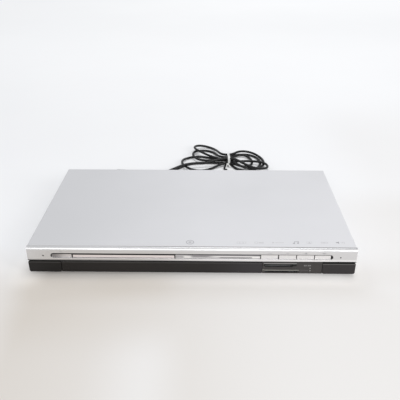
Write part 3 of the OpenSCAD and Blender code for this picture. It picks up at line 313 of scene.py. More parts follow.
LEAD_D = 4.4
LEAD_EXIT = (-185, 138.7, 14)
ROUTE_IN = (
    LEAD_EXIT, (-185, 150, 12.4), (-185, 160, 9), (-182.5, 171.5, 5.4), (-176, 181, 3.2),
    (-166.5, 187, 2.3), (-155, 189, 2.3), (-135, 189, 2.3), (-115, 188, 2.3),
    (-95, 187, 2.3), (-77, 187.5, 2.3), (-61, 190.5, 2.3), (-47.5, 194.5, 2.3), (-37.5, 202.5, 2.3),
    (-27, 219, 2.3), (-12, 230, 2.3), (8, 234.5, 2.3), (34, 233.7, 2.3),
)
ROUTE_OUT = (
    (42, 225.5, 2.3), (22, 220, 2.3), (0, 217.5, 2.3), (-14, 213, 2.3), (-32, 199.5, 2.3),
    (-41, 193, 2.3), (-53, 186.5, 2.3), (-65, 181, 2.3), (-77, 174.5, 2.9), (-88, 167, 4.9),
    (-98.5, 162, 6.45), (-108.3, 160, 6.85),
)
# Turns of the hank in the order in which the lead runs: centre x, y, half widths, way round
HANK_TURNS = (
    (92, 237, 30, 40, 1), (2, 230, 32, 35, 1), (86, 240, 21, 31, 1), (14, 266, 24, 30, 1),
    (97, 238, 32, 41, 1), (13, 295, 22, 20, 1), (114, 211, 21, 21, -1),
)
NECK = (60, 235)
NECK_HALF = 6
NECK_Y = (232.7, 242.1, 228, 237.4, 232.7, 242.1, 237.4, 228)
TURN_POINTS = 9
WIDEST_MOUTH = 0.8
PATH_STEP = 2.5
LOOP_PASSES = 40
FOLD_R = 13.5
FOLD_REACH = 7
FOLD_PASSES = 400
END_POINTS = 40
HUMP_REACH = 60
HUMP_FALL = 320
STRAND_APART = 20
SETTLE_PASSES = 10
SETTLED = 0.02
HEIGHT_PASSES = 20


def turn_points(cx, cy, rx, ry, way):
    """Points round one turn of the hank, from the neck and back."""
    middle = math.atan2(cy - NECK[1], cx - NECK[0])
    far = math.hypot(cy - NECK[1], cx - NECK[0])
    half = (math.pi - math.acos(min(WIDEST_MOUTH, rx / far))) * way
    turns = [middle - half + 2 * half * i / (TURN_POINTS - 1) for i in range(TURN_POINTS)]
    return [(cx + rx * math.cos(a), cy + ry * math.sin(a)) for a in turns]


def lead_plan():
    """Points of the lead seen from above."""
    points = [p[:2] for p in ROUTE_IN]
    side = 1
    for y, turn in zip(NECK_Y, HANK_TURNS):
        points += [(NECK[0] - NECK_HALF * side, y), (NECK[0] + NECK_HALF * side, y)]
        points += turn_points(*turn)
        side = -side
    points += [(NECK[0] + NECK_HALF, NECK_Y[-1]), (NECK[0] - NECK_HALF, NECK_Y[-1])]
    points += [p[:2] for p in ROUTE_OUT]
    return np.array(points, float)


def along(points):
    """Distance along a path at each of its points."""
    steps = np.linalg.norm(np.diff(points, axis=0), axis=1)
    return np.concatenate([[0], np.cumsum(steps)])


def curved(points):
    """Smooth curve through the points."""
    points = np.vstack([2 * points[0] - points[1], points, 2 * points[-1] - points[-2]])
    line = []
    for a, b, c, d in zip(points, points[1:], points[2:], points[3:]):
        t1 = math.sqrt(np.linalg.norm(b - a))
        t2 = t1 + math.sqrt(np.linalg.norm(c - b))
        t3 = t2 + math.sqrt(np.linalg.norm(d - c))
        count = max(2, round(np.linalg.norm(c - b) / PATH_STEP))
        for t in np.linspace(t1, t2, count, endpoint=False):
            ab = (a * (t1 - t) + b * t) / t1
            bc = (b * (t2 - t) + c * (t - t1)) / (t2 - t1)
            cd = (c * (t3 - t) + d * (t - t2)) / (t3 - t2)
            abc = (ab * (t2 - t) + bc * t) / t2
            bcd = (bc * (t3 - t) + cd * (t - t1)) / (t3 - t1)
            line.append((abc * (t2 - t) + bcd * (t - t1)) / (t2 - t1))
    line.append(points[-2])
    return np.array(line)


def even(line):
    """The same path with its points evenly apart."""
    run = along(line)
    stops = np.linspace(0, run[-1], int(run[-1] / PATH_STEP) + 1)
    return np.stack([np.interp(stops, run, line[:, k]) for k in range(line.shape[1])], 1)


def soften(line, passes):
    """Evens out a line between its two end points."""
    for _ in range(passes):
        line[1:-1] = (line[:-2] + 2 * line[1:-1] + line[2:]) / 4
    return line


def ease_folds(line):
    """Opens each bend that is tighter than a fold of the lead may be."""
    for _ in range(FOLD_PASSES):
        run = np.diff(line, axis=0)
        size = np.linalg.norm(run, axis=1)
        way = run / size[:, None]
        bend = np.linalg.norm(np.diff(way, axis=0), axis=1) / size[1:]
        tight = np.concatenate([[0], bend * FOLD_R > 1, [0]])
        near = np.convolve(tight, np.ones(FOLD_REACH), "same") > 0
        near[:END_POINTS] = False
        near[-END_POINTS:] = False
        if not near.any():
            break
        line = np.where(near[:, None], soften(line.copy(), 1), line)
    return line


def settled(plan):
    """Heights of the lead: on the floor, and in long low humps over what lies under it."""
    run = along(plan)
    start = np.array(ROUTE_IN, float)
    end = np.array(ROUTE_OUT[::-1], float)
    low = np.maximum(
        np.interp(run, along(start[:, :2]), start[:, 2]),
        np.interp(run[-1] - run, along(end[:, :2]), end[:, 2]),
    )
    apart = np.linalg.norm(plan[:, None] - plan[None], axis=2)
    gap = np.abs(run[:, None] - run[None])
    under = (apart < LEAD_D) & (run[None] < run[:, None] - STRAND_APART)
    lift = np.where(under, np.sqrt(np.maximum(LEAD_D ** 2 - apart ** 2, 0)), 0)
    fall = np.where(gap < HUMP_REACH, gap ** 2 / HUMP_FALL, np.inf)
    z = low.copy()
    for _ in range(SETTLE_PASSES):
        held = np.maximum(low, np.where(under, z[None] + lift, 0).max(axis=1))
        new = np.maximum(low, (held[None] - fall).max(axis=1))
        if np.abs(new - z).max() < SETTLED:
            break
        z = new
    return soften(z, HEIGHT_PASSES)


def lead_path():
    """The whole lead from the strain relief to the plug."""
    plan = ease_folds(soften(even(curved(lead_plan())), LOOP_PASSES))
    plan = ease_folds(even(plan))
    return np.column_stack([plan, settled(plan)])


def sheath_finish(name):
    """Black cord sheath, a little glossy, with faint ripples from its strands."""
    f = Finish(name)
    grain = f.noise(0.8, 3)
    dust = f.smooth_step(f.noise(14, 4), 0.5, 0.75)
    ripple = f.noise(5, 1)
    return f.surface({
        "Base Color": f.mix(dust * 0.5 + grain * 0.3, tint(6, 6, 7), tint(24, 23, 24)),
        "Roughness": 0.34 + grain * 0.14,
        "Specular IOR Level": 0.3,
        "Normal": f.bump(grain + ripple * 0.6, 0.05),
    })


def lay_lead(path, sheath):
    """The mains lead, all of it in one curve."""
    curve = bpy.data.curves.new("mains_cord", "CURVE")
    curve.dimensions = "3D"
    curve.bevel_depth = LEAD_D / 2 * MM
    curve.bevel_resolution = 4
    curve.use_fill_caps = True
    spline = curve.splines.new("POLY")
    spline.points.add(len(path) - 1)
    spline.points.foreach_set("co", np.column_stack([path * MM, np.ones(len(path))]).ravel())
    spline.use_smooth = True
    curve.materials.append(sheath)
    cord = bpy.data.objects.new("mains_cord", curve)
    scene.collection.objects.link(cord)
    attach(cord, "root")
    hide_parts("mains_lead", "lead_hank")


lead = lead_path()
black_sheath = sheath_finish("cord_sheath")
lay_lead(lead, black_sheath)


# ---------------------------------------------------------------- mesh helpers

def piece(name, mesh_maker, material, body, smooth=True):
    """New object from a bmesh function, in the player's own frame."""
    form = bmesh.new()
    mesh_maker(form)
    bmesh.ops.scale(form, vec=(MM, MM, MM), verts=form.verts)
    bmesh.ops.recalc_face_normals(form, faces=form.faces)
    mesh = bpy.data.meshes.new(name)
    form.to_mesh(mesh)
    form.free()
    mesh.materials.append(material)
    for face in mesh.polygons:
        face.use_smooth = smooth
    made = bpy.data.objects.new(name, mesh)
    scene.collection.objects.link(made)
    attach(made, body)
    return made


def circle(x, y, r, steps=28):
    turns = [2 * math.pi * k / steps for k in range(steps)]
    return [(x + r * math.cos(a), y + r * math.sin(a)) for a in turns]


def oblong(x, y, w, h):
    return [(x - w / 2, y - h / 2), (x + w / 2, y - h / 2), (x + w / 2, y + h / 2), (x - w / 2, y + h / 2)]


def triangle(x, y, w, h):
    return [(x - w / 2, y - h / 2), (x + w / 2, y), (x - w / 2, y + h / 2)]


def sweep(form, path, profile):
    """Closed tube of a profile, (across, up) about the path, with flat ends; across starts along x."""
    rings = []
    side = Vector((1, 0, 0))
    for i, at in enumerate(path):
        ahead = (path[min(i + 1, len(path) - 1)] - path[max(i - 1, 0)]).normalized()
        side = (side - ahead * side.dot(ahead)).normalized()
        over = ahead.cross(side)
        rings.append([form.verts.new(at + side * a + over * b) for a, b in profile])
    count = len(profile)
    for one, two in zip(rings, rings[1:]):
        for k in range(count):
            form.faces.new((one[k], one[(k + 1) % count], two[(k + 1) % count], two[k]))
    form.faces.new(rings[0])
    form.faces.new(rings[-1][::-1])


# ---------------------------------------------------------------- wire tie

TIE_X = NECK[0]
TIE_WIDE = 2.6
TIE_THICK = 0.3
TIE_WIRE_R = 0.4
TIE_WIRE_SIDE = 0.5
TIE_PITCH = 1.9
TIE_TURNS = 2
TIE_STEPS = 96
TIE_CLEAR = 0.45
BAND_CORNERS = 24
# Ends of the tie from its front: how far across, towards the player, and bowed up
TIE_ENDS = ((-2.5, -4.5, 1.5), (5.5, -6.5, 0.5))
TIE_END_Z = 0.9
TIE_END_STEPS = 12
# Black tail under the tie: across and towards the player from its front, and height
TAIL_BENDS = ((-2, 1, 4.5), (-4.4, -4.5, 3.8), (-6.4, -11.5, 2.4), (-5.6, -16.5, 1.8), (-1.2, -19, 1.8))
TAIL_R = 1.6
TAIL_CORNERS = 12


def hull_side(points):
    """One side of the outline round sorted points."""
    chain = []
    for y, z in points:
        while len(chain) > 1:
            (y0, z0), (y1, z1) = chain[-2:]
            if (y1 - y0) * (z - z0) > (z1 - z0) * (y - y0):
                break
            chain.pop()
        chain.append((y, z))
    return chain[:-1]


def band_round(centres, reach):
    """Band round circles at the centres, as a closed loop of points."""
    cloud = sorted({p for y, z in centres for p in circle(y, z, reach, BAND_CORNERS)})
    return hull_side(cloud) + hull_side(cloud[::-1])


def tie_finish(name):
    """White coated tie, faintly creased."""
    f = Finish(name)
    crease = f.noise(0.9, 3)
    return f.surface({
        "Base Color": f.mix(crease, tint(222, 222, 220), tint(246, 246, 244)),
        "Roughness": 0.38 + crease * 0.12,
        "Normal": f.bump(crease, 0.12),
    })


def tie_path():
    """Middle of the tie, wound round the strands at the neck of the hank."""
    strands = lead[np.abs(lead[:, 0] - TIE_X) < PATH_STEP / 2]
    loop = band_round([(y, z) for _, y, z in strands], LEAD_D / 2 + TIE_THICK)
    loop = np.array(loop + loop[:1], float)
    run = along(loop)
    path = []
    for k in range(TIE_TURNS * TIE_STEPS + 1):
        share = k / TIE_STEPS
        s = (share % 1) * run[-1]
        x = TIE_X + (share - TIE_TURNS / 2) * TIE_PITCH
        y = np.interp(s, run, loop[:, 0])
        z = max(np.interp(s, run, loop[:, 1]), TIE_CLEAR)
        path.append(Vector((x, y, z)))
    return path


def wind_tie():
    """Coated wire wound round the neck of the hank, its two ends turned down."""
    path = tie_path()
    front = path[0]
    half = TIE_THICK / 2
    below = [(-TIE_WIDE / 2, 0), (-TIE_WIRE_SIDE, -half), (0, -TIE_WIRE_R), (TIE_WIRE_SIDE, -half)]
    flat = below + [(-across, -up) for across, up in below]

    def make(form):
        sweep(form, path, flat)
        for across, down, bow in TIE_ENDS:
            end = []
            for t in np.linspace(0, 1, TIE_END_STEPS):
                up = bow * math.sin(math.pi * t) + (TIE_END_Z - front.z) * t
                end.append(front + Vector((across * t, down * t, up)))
            sweep(form, end, flat)

    tie = piece("cord_tie", make, tie_finish("white_tie"), "root")
    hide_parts("lead_tie")
    return front


def draw_tail(front):
    """Short black tail that comes out from under the tie."""
    bends = [front + Vector((across, down, up - front.z)) for across, down, up in TAIL_BENDS]
    line = [Vector(p) for p in even(curved(np.array(bends)))]
    profile = circle(0, 0, TAIL_R, TAIL_CORNERS)
    piece("tie_tail", lambda form: sweep(form, line, profile), black_sheath, "root")


draw_tail(wind_tie())


# ---------------------------------------------------------------- finishes of the case and front

def silver_tone(f, dark, light):
    """Slow drift in the tone of silver paint with its fine flake, and the flake by itself."""
    flake = f.noise(0.3, 1)
    drift = f.noise(140, 2)
    return f.mix(drift * 0.7 + flake * 0.3, dark, light), flake


def cover_finish(name):
    """Silver paint, with painted shade making it darker towards the left."""
    f = Finish(name)
    dark = tint(202, 202, 204)
    tone, flake = silver_tone(f, dark, tint(219, 218, 221))
    # Painted shade: darker towards the left
    left = f.smooth_step(f.x, 40, -215)
    return f.surface({
        "Base Color": f.mix(left * 0.5, tone, shade(dark, 0.82)),
        "Metallic": 0.15,
        "Roughness": 0.46 + flake * 0.06,
        "Normal": f.bump(flake, 0.002),
    })


def face_finish(name):
    """Polished silver with painted light and shade: the ledge under the slot lighter to the right, the lip
    under it in painted shade to the left, a dark band of painted shade along its foot, and painted shade
    at the seam with the cover behind.
    """
    f = Finish(name)
    tone, flake = silver_tone(f, tint(209, 208, 208), tint(227, 226, 227))
    # Painted light and shade: ledge lighter to the right, lip shaded to the left, dark band along the
    # foot, shade at the seam
    ledge = f.mix(f.smooth_step(f.x, -100, 60), tone, tint(244, 243, 244))
    lip = f.mix(f.smooth_step(f.x, -100, 90), tint(146, 145, 146), tint(240, 239, 240))
    under_slot = f.z < SLOT_LOW + 0.05
    lip_shade_mask = f.smooth_step(f.z, *LIP_SHADE_Z)
    shade_rise = f.smooth_step(f.x, -75, -45) * 0.3 + f.smooth_step(f.x, 150, 200) * 0.4
    below = f.z < shade_rise + FACE_SHADE_Z
    seam = f.smooth_step(f.y, *SEAM_SHADE_Y) * (0.22 + 0.34 * f.smooth_step(f.x, -150, 60))
    tone = f.mix(lip_shade_mask, f.mix(under_slot, tone, ledge), lip)
    tone = f.mix(below, tone, tint(10, 10, 10))
    return f.surface({
        "Base Color": f.mix(seam, tone, tint(20, 20, 20)),
        "Metallic": 0.7,
        "Roughness": 0.2 + flake * 0.06,
        "Normal": f.bump(flake, 0.002),
    })


def bar_finish(name, base, gaps, top, low=0, shade_end_x=None):
    """Bright plated plastic, with painted shade along its top, a little along its low edge and beside its
    gaps; painted shade at one end if asked.
    """
    f = Finish(name)
    haze = f.noise(9, 3)
    bright = f.mix(haze, base, shade(base, 1.08))
    # Painted shade darkening one end, the left end of the power key
    if shade_end_x:
        bright = f.mix(f.smooth_step(f.x, *shade_end_x), bright, shade(base, 0.4))
    # Painted shade: black along the top, a little along the low edge, and over each gap between the bars
    edge = f.smooth_step(f.z, top, top + 0.3) + (f.z < low) * 0.3
    for at, half in gaps:
        edge = edge | f.within(f.x, at - half, at + half)
    return f.surface({
        "Base Color": f.mix(edge, bright, tint(5, 5, 5)),
        "Metallic": 0.65 - edge * 0.65,
        "Roughness": 0.16 + haze * 0.05 + edge * 0.4,
        "Specular IOR Level": 0.2,
        "Normal": f.bump(haze, 0.004),
    })


def window_finish(name):
    """Half-mirrored smoked window with painted reflections: darker above, long bright bands, a bright
    glint near each end and along its foot, and a dark line low down; painted shade along its top.
    """
    f = Finish(name)
    streak = f.noise(1.4, 2, (0.03, 1, 1))
    # Painted reflections: darker above, bright bands and glints, a bright foot and a dark line; painted
    # shade along the top
    upper = f.smooth_step(f.z, 28.2, 28.9) * f.smooth_step(f.x, -14, 4)
    reflected_band = f.smooth_step(f.x, 18, 34) * f.smooth_step(f.z, 28, 28.5)
    clear = f.patch(f.x, -12, -8, -3, 3) + f.smooth_step(f.x, 78.5, 80)
    below_top = f.smooth_step(f.z, 30.2, 29.7)
    foot = f.smooth_step(f.z, 27.1, 26.8)
    line = f.patch(f.x, 34, 40, 78, 79) * f.within(f.z, 27, 28.2)
    edge = f.smooth_step(f.z, 31.2, 31.6)
    tone = f.mix(streak, tint(176, 175, 178), tint(214, 213, 216))
    tone = f.mix(upper, tone, tint(156, 154, 158))
    tone = f.mix((reflected_band | clear) * below_top | foot, tone, tint(250, 249, 249))
    tone = f.mix(line, tone, tint(130, 128, 132))
    return f.surface({
        "Base Color": f.mix(edge, tone, tint(52, 52, 54)),
        "Metallic": 0.8 - edge * 0.4,
        "Roughness": 0.07 + streak * 0.04,
        "Normal": f.bump(streak, 0.003),
    })


def strip_finish(name):
    """Polished black with painted light, a shade lighter to the right, a painted highlight line under its
    top and painted shade in its top gap.
    """
    f = Finish(name)
    wipe = f.noise(30, 4, (0.3, 1, 1))
    flow = f.noise(12, 1)
    # Painted highlight line under the top, painted shade in the top gap, painted light to the right
    line = f.patch(f.z, *STRIP_HIGHLIGHT_Z)
    gap_shade = f.smooth_step(f.z, *STRIP_GAP_SHADE_Z)
    body = f.mix(f.smooth_step(f.x, -190, -80), tint(26, 23, 22), tint(33, 30, 29))
    body = f.mix(f.smooth_step(f.x, 10, 95), body, tint(50, 47, 50))
    body = f.mix(line * 0.3, body, tint(100, 98, 96))
    return f.surface({
        "Base Color": f.mix(gap_shade, body, tint(6, 6, 6)),
        "Roughness": 0.14 + wipe * 0.06,
        "Specular IOR Level": 0.3,
        "Normal": f.bump(flow, 0.01),
    })


def block_finish(name):
    """Satin black with painted light, lighter to the right, painted shade along the top edge and a painted
    highlight line just under it.
    """
    f = Finish(name)
    spark = f.noise(0.35, 2)
    cloud = f.noise(25, 3)
    # Painted light to the right, painted highlight line under the top, painted shade along the top
    right = f.smooth_step(f.x, 0, 200)
    line = f.patch(f.z, *BLOCK_HIGHLIGHT_Z) * (0.39 + 0.61 * right)
    top = f.smooth_step(f.z, *BLOCK_TOP_SHADE_Z)
    body = f.mix(cloud, tint(14, 12, 11), tint(22, 19, 18))
    body = f.mix(right, body, tint(47, 44, 45))
    body = f.mix(line, body, tint(96, 94, 92))
    return f.surface({
        "Base Color": f.mix(top, body, tint(5, 5, 5)),
        "Roughness": 0.42 + spark * 0.12,
        "Specular IOR Level": 0.3,
        "Normal": f.bump(spark, 0.015),
    })


def card_face_finish(name):
    """Satin dark grey, with painted shade in the mouth of a card slot and darkest in its corners, a
    painted highlight on the rim above it, and the smoother ledge under it paler with a painted highlight.
    """
    f = Finish(name)
    spark = f.noise(0.3, 2)
    mouth = f.within(f.x, *CARD_MOUTH_X)
    # Painted highlight on the rim and ledge, painted shade in the slot mouth and darkest in its corners
    rim = mouth * f.within(f.z, *CARD_RIM_HIGHLIGHT_Z)
    mouth_shade = mouth * f.patch(f.z, *CARD_MOUTH_SHADE_Z)
    corner_shade = mouth_shade * (f.smooth_step(f.x, 105, 102) + f.smooth_step(f.x, 126, 129))
    ledge = f.within(f.z, *CARD_LEDGE_HIGHLIGHT_Z) * (f.x < CARD_LEDGE_HIGHLIGHT_END)
    body = f.mix(spark, tint(56, 53, 53), tint(66, 63, 62))
    body = f.mix(rim, body, tint(140, 139, 138))
    body = f.mix(mouth_shade, body, tint(34, 33, 33))
    body = f.mix(corner_shade, body, tint(10, 10, 10))
    return f.surface({
        "Base Color": f.mix(ledge, body, tint(122, 121, 116)),
        "Roughness": 0.38 - ledge * 0.14,
        "Specular IOR Level": 0.35,
        "Normal": f.bump(spark, 0.015),
    })


# ---------------------------------------------------------------- finishes of other pieces

def gloss_finish(name, base, rough, coat=0.6):
    """Polished moulding with faint flow and wipe marks."""
    f = Finish(name)
    wipe = f.noise(30, 4, (0.3, 1, 1))
    flow = f.noise(12, 1)
    return f.surface({
        "Base Color": f.mix(wipe, base, shade(base, 1.3)),
        "Roughness": rough + wipe * 0.06,
        "Coat Weight": coat,
        "Coat Roughness": 0.06,
        "Normal": f.bump(flow, 0.01),
    })


def grain_finish(name, base, rough=0.5, grain=0.35, depth=0.02, lift=1.5):
    """Moulded plastic with a fine spark grain."""
    f = Finish(name)
    spark = f.noise(grain, 2)
    cloud = f.noise(25, 3)
    return f.surface({
        "Base Color": f.mix(cloud * 0.6 + spark * 0.4, base, shade(base, lift)),
        "Roughness": rough + spark * 0.15,
        "Normal": f.bump(spark, depth),
    })


def sheet_finish(name, base):
    """Plated sheet with soft crystal patches and fine rolling lines."""
    f = Finish(name)
    crystals = f.cells(7, take="Color")
    patch = f.add("SeparateColor", None, [crystals])
    lines = f.noise(0.7, 2, (0.05, 1, 1))
    return f.surface({
        "Base Color": f.mix(patch * 0.6 + lines * 0.4, shade(base, 0.82), base),
        "Metallic": 0.9,
        "Roughness": 0.36 + patch * 0.1,
        "Normal": f.bump(lines, 0.01),
    })


def steel_finish(name, base, rough=0.25):
    """Bright turned or drawn metal."""
    f = Finish(name)
    brush = f.noise(0.5, 2)
    return f.surface({
        "Base Color": f.mix(brush, shade(base, 0.85), base),
        "Metallic": 1.0,
        "Roughness": rough + brush * 0.15,
        "Normal": f.bump(brush, 0.006),
    })


def board_finish(name, lacquer, track):
    """Lacquered board with tracks and lands showing through."""
    f = Finish(name)
    tracks = f.within(f.cells(6, "SMOOTH_F1", stretch=(1, 0.25, 1)), 0.42, 0.5)
    lands = f.cells(5) < 0.14
    tone = f.mix(tracks, lacquer, track)
    return f.surface({
        "Base Color": f.mix(lands, tone, tint(176, 172, 160)),
        "Metallic": lands * 0.8,
        "Roughness": 0.32,
        "Normal": f.bump(tracks + lands, 0.05),
    })


def glass_finish(name, base):
    """Dark glass of the display."""
    f = Finish(name)
    return f.surface({
        "Base Color": f.mix(f.noise(2, 1), base, shade(base, 1.4)),
        "Roughness": 0.08,
        "Coat Weight": 1.0,
        "Coat Roughness": 0.02,
    })


def ribbon_finish(name):
    """Grey ribbon cable with a groove between its wires, in painted shade."""
    f = Finish(name)
    # Painted shade in the grooves between the wires
    wires = f.wave(f.x, RIBBON_PITCH) * 0.5 + f.wave(f.y, RIBBON_PITCH) * 0.5
    return f.surface({
        "Base Color": f.mix(wires * 0.5 + 0.5, tint(150, 150, 154), tint(196, 196, 200)),
        "Roughness": 0.45,
        "Normal": f.bump(wires, 0.15),
    })


def jack_finish(name):
    """Black blocks, plated collars and shells, and an insulator of its own colour in each jack, its bore
    in painted shade.
    """
    f = Finish(name)
    spark = f.noise(0.3, 2)
    upper = f.z > (JACK_LOW_Z + JACK_HIGH_Z) / 2
    middle = f.x > (JACK_X[0] + JACK_X[1]) / 2
    last = f.x > (JACK_X[1] + JACK_X[2]) / 2
    coax = f.x < (COAX_X + JACK_X[0]) / 2
    across = f.x - pick(coax, pick(last, pick(middle, JACK_X[0], JACK_X[1]), JACK_X[2]), COAX_X)
    up = f.z - pick(coax, pick(upper, JACK_LOW_Z, JACK_HIGH_Z), COAX_Z)
    r = f.add("Math", {"operation": "SQRT"}, [across * across + up * up])
    outside = f.y > JACK_FACE_Y
    shell = outside * f.within(r, JACK_COLOUR_R, JACK_SHELL_R)
    inside = outside * (r < JACK_COLOUR_R)
    # Painted shade: the bore of each jack is painted near-black
    hole = inside * (r < JACK_HOLE_R) * (f.y < JACK_HOLE_END)
    high = f.mix(last, f.mix(middle, tint(190, 30, 32), tint(38, 78, 170)), tint(40, 140, 66))
    low = f.mix(last, f.mix(middle, tint(196, 32, 34), tint(226, 226, 222)), tint(236, 200, 40))
    colour = f.mix(coax, f.mix(upper, low, high), tint(226, 120, 34))
    tone = f.mix(spark, tint(26, 26, 27), tint(38, 38, 39))
    tone = f.mix(shell, tone, tint(214, 208, 190))
    tone = f.mix(inside, tone, colour)
    return f.surface({
        "Base Color": f.mix(hole, tone, tint(8, 8, 8)),
        "Metallic": shell,
        "Roughness": 0.42 - shell * 0.2 + spark * 0.08,
        "Normal": f.bump(spark, 0.01),
    })


def tray_finish(name):
    """Dark satin moulding, its disc recess a shade paler and smoother than the rim."""
    f = Finish(name)
    spark = f.noise(0.3, 2)
    recess = f.within(f.z, *TRAY_RECESS_Z)
    tone = f.mix(recess, tint(40, 40, 43), tint(56, 56, 60))
    return f.surface({
        "Base Color": f.mix(spark, tone, tint(62, 62, 66)),
        "Roughness": 0.5 - recess * 0.14 + spark * 0.1,
        "Normal": f.bump(spark, 0.012),
    })


def scart_finish(name):
    """Black sockets with a plated rim and brass contacts on the tongue."""
    f = Finish(name)
    spark = f.noise(0.35, 2)
    rim = f.y > SCART_RIM_Y
    tongue = f.within(f.z, *SCART_TONGUE_Z) * f.within(f.y, *SCART_TONGUE_Y)
    contact = tongue * (f.wave(f.x, SCART_PITCH) > 0.1)
    tone = f.mix(spark, tint(24, 24, 25), tint(36, 36, 37))
    tone = f.mix(rim, tone, tint(196, 196, 200))
    return f.surface({
        "Base Color": f.mix(contact, tone, tint(206, 176, 110)),
        "Metallic": rim + contact,
        "Roughness": 0.42 - rim * 0.14,
        "Normal": f.bump(spark, 0.015),
    })


def plug_finish(name):
    """Moulded black body with grip lines, and pins bare past their sleeves."""
    f = Finish(name)
    spark = f.noise(0.5, 2)
    bare = f.x < PIN_BARE_X
    grip = f.within(f.x, *GRIP_X) * (f.wave(f.x, GRIP_PITCH) > 0)
    tone = f.mix(spark, tint(24, 24, 25), tint(38, 37, 38))
    return f.surface({
        "Base Color": f.mix(bare, tone, tint(206, 200, 186)),
        "Metallic": bare,
        "Roughness": 0.45 - bare * 0.2 + spark * 0.08,
        "Normal": f.bump(spark * 0.1 + grip, 0.12),
    })


def caps_finish(name, tops, sleeve, sink=None, tape=None):
    """Board parts: sleeves with bare can tops, an aluminium heat sink and a taped choke."""
    f = Finish(name)
    spark = f.noise(0.6, 2)
    bare, *others = [f.within(f.z, top - CAN_TOP_HALF, top + CAN_TOP_HALF) for top in tops]
    if sink:
        others.append(f.within(f.y, *sink))
    for other in others:
        bare = bare | other
    tone = f.mix(spark, sleeve, shade(sleeve, 1.5))
    tone = f.mix(bare, tone, tint(188, 188, 192))
    if tape:
        wound = f.within(f.y, *tape)
        tone = f.mix(wound, tone, tint(214, 178, 52))
        bare = bare - bare * wound
    return f.surface({
        "Base Color": tone,
        "Metallic": bare * 0.9,
        "Roughness": 0.4 + spark * 0.1,
        "Normal": f.bump(spark, 0.02),
    })


def core_finish(name):
    """Stacked iron core with a taped winding out of both ends."""
    f = Finish(name)
    wound = (f.y < WINDING_Y[0]) + (f.y > WINDING_Y[1])
    sheets = f.wave(f.x, CORE_SHEET_PITCH) * 0.5 + 0.5
    core = f.mix(sheets, tint(70, 68, 66), tint(104, 100, 96))
    return f.surface({
        "Base Color": f.mix(wound, core, tint(206, 166, 44)),
        "Roughness": 0.42,
        "Metallic": 0.5 - wound * 0.5,
        "Normal": f.bump(sheets - sheets * wound, 0.08),
    })


dress(cover_finish("silver_paint"), "top_cover")
dress(face_finish("silver_front"), "front_bezel")
dress(bar_finish("bright_bar", tint(236, 234, 234), BAR_GAP_SHADES + [SLOT_END_SHADE], top=31.7, low=26.6),
      "open_button", "play_button", "stop_button", "skip_button")
dress(bar_finish("bright_door", tint(240, 232, 232), BAR_GAP_SHADES, top=30.1), "tray_door")
dress(bar_finish("bright_power", tint(214, 210, 211), BAR_GAP_SHADES, top=30.9, shade_end_x=(-160, -183)),
      "power_button")
dress(window_finish("smoked_window"), "display_window")
dress(strip_finish("black_gloss"), "lower_fascia")
dress(block_finish("black_satin"), "left_end_block", "right_end_block")
dress(card_face_finish("card_grey"), "card_bezel")
dress(grain_finish("carrier_black", tint(30, 30, 30), 0.5), "front_carrier", "feet")
dress(gloss_finish("lamp_lens", tint(44, 45, 44), 0.15), "indicator_lenses")
dress(grain_finish("pad_rubber", tint(34, 34, 35), 0.7, 0.6, 0.06),
      "foot_pads", "traverse_bushes", "tray_belt", "strain_relief")
dress(sheet_finish("zinc_sheet", tint(200, 202, 205)),
      "chassis_base", "rear_panel", "clamp_bridge", "traverse_deck", "card_sockets")
dress(steel_finish("screw_steel", tint(205, 205, 208)), "cover_screws", "inner_screws", "guide_rods")
dress(board_finish("green_board", tint(24, 82, 46), tint(44, 116, 66)),
      "front_boards", "main_board", "card_board")
dress(board_finish("brown_board", tint(142, 104, 60), tint(168, 132, 84)), "power_board")
dress(glass_finish("display_glass", tint(34, 44, 46)), "display_module")
dress(grain_finish("black_parts", tint(36, 36, 38), 0.42), "tact_switches")
dress(scart_finish("socket_black"), "av_sockets")
dress(jack_finish("phono_metal"), "phono_sockets", "digital_sockets")
dress(caps_finish("board_caps", CAN_TOPS, tint(24, 25, 32)), "board_parts")
dress(caps_finish("power_caps", POWER_CAN_TOPS, tint(22, 28, 48), sink=HEAT_SINK_Y, tape=CHOKE_TAPE_Y),
      "power_parts")
dress(grain_finish("loader_black", tint(44, 44, 46), 0.42, 0.3), "loader_frame", "turntable")
dress(tray_finish("tray_black"), "disc_tray")
dress(steel_finish("motor_can", tint(198, 198, 200), 0.3), "tray_motor", "spindle_motor", "feed_motor")
dress(steel_finish("pinion_brass", tint(214, 178, 104)), "motor_pulley", "feed_pinion")
dress(grain_finish("gear_white", tint(226, 222, 208), 0.36, 0.5, 0.01, 1.06),
      "belt_gear", "drive_gear", "cam_slider", "feed_gear", "disc_clamp")
dress(steel_finish("pickup_metal", tint(120, 120, 124), 0.4), "pickup_sled")
dress(gloss_finish("lens_blue", tint(52, 66, 122), 0.05, 1.0), "objective_lens")
dress(core_finish("transformer_iron"), "transformer")
dress(ribbon_finish("ribbon_grey"), "ribbon_cables")
dress(plug_finish("plug_black"), "mains_plug")


# ---------------------------------------------------------------- edges of the front

WELD_GAP = 0.002
EDGE_STEPS = 3
EDGE_ANGLE = math.radians(40)


def round_edges(width, *names):
    """Small radius on the sharp edges of CAD nodes."""
    for name in names:
        weld = NODES[name].modifiers.new("weld", "WELD")
        weld.merge_threshold = WELD_GAP * MM
        edges = NODES[name].modifiers.new("edges", "BEVEL")
        edges.width = width * MM
        edges.segments = EDGE_STEPS
        edges.limit_method = "ANGLE"
        edges.angle_limit = EDGE_ANGLE
        edges.harden_normals = True


round_edges(0.45, *BARS)
round_edges(0.5, "left_end_block", "right_end_block", "lower_fascia")


# ---------------------------------------------------------------- lining of the slot, a dark sheet for painted shade

LINER_T = 0.15
LINER_DEPTH = 2.8
SHADE_RIM_T = 0.02
SHADE_RIM_WIDE = 0.5
ROUND_STEPS = 12


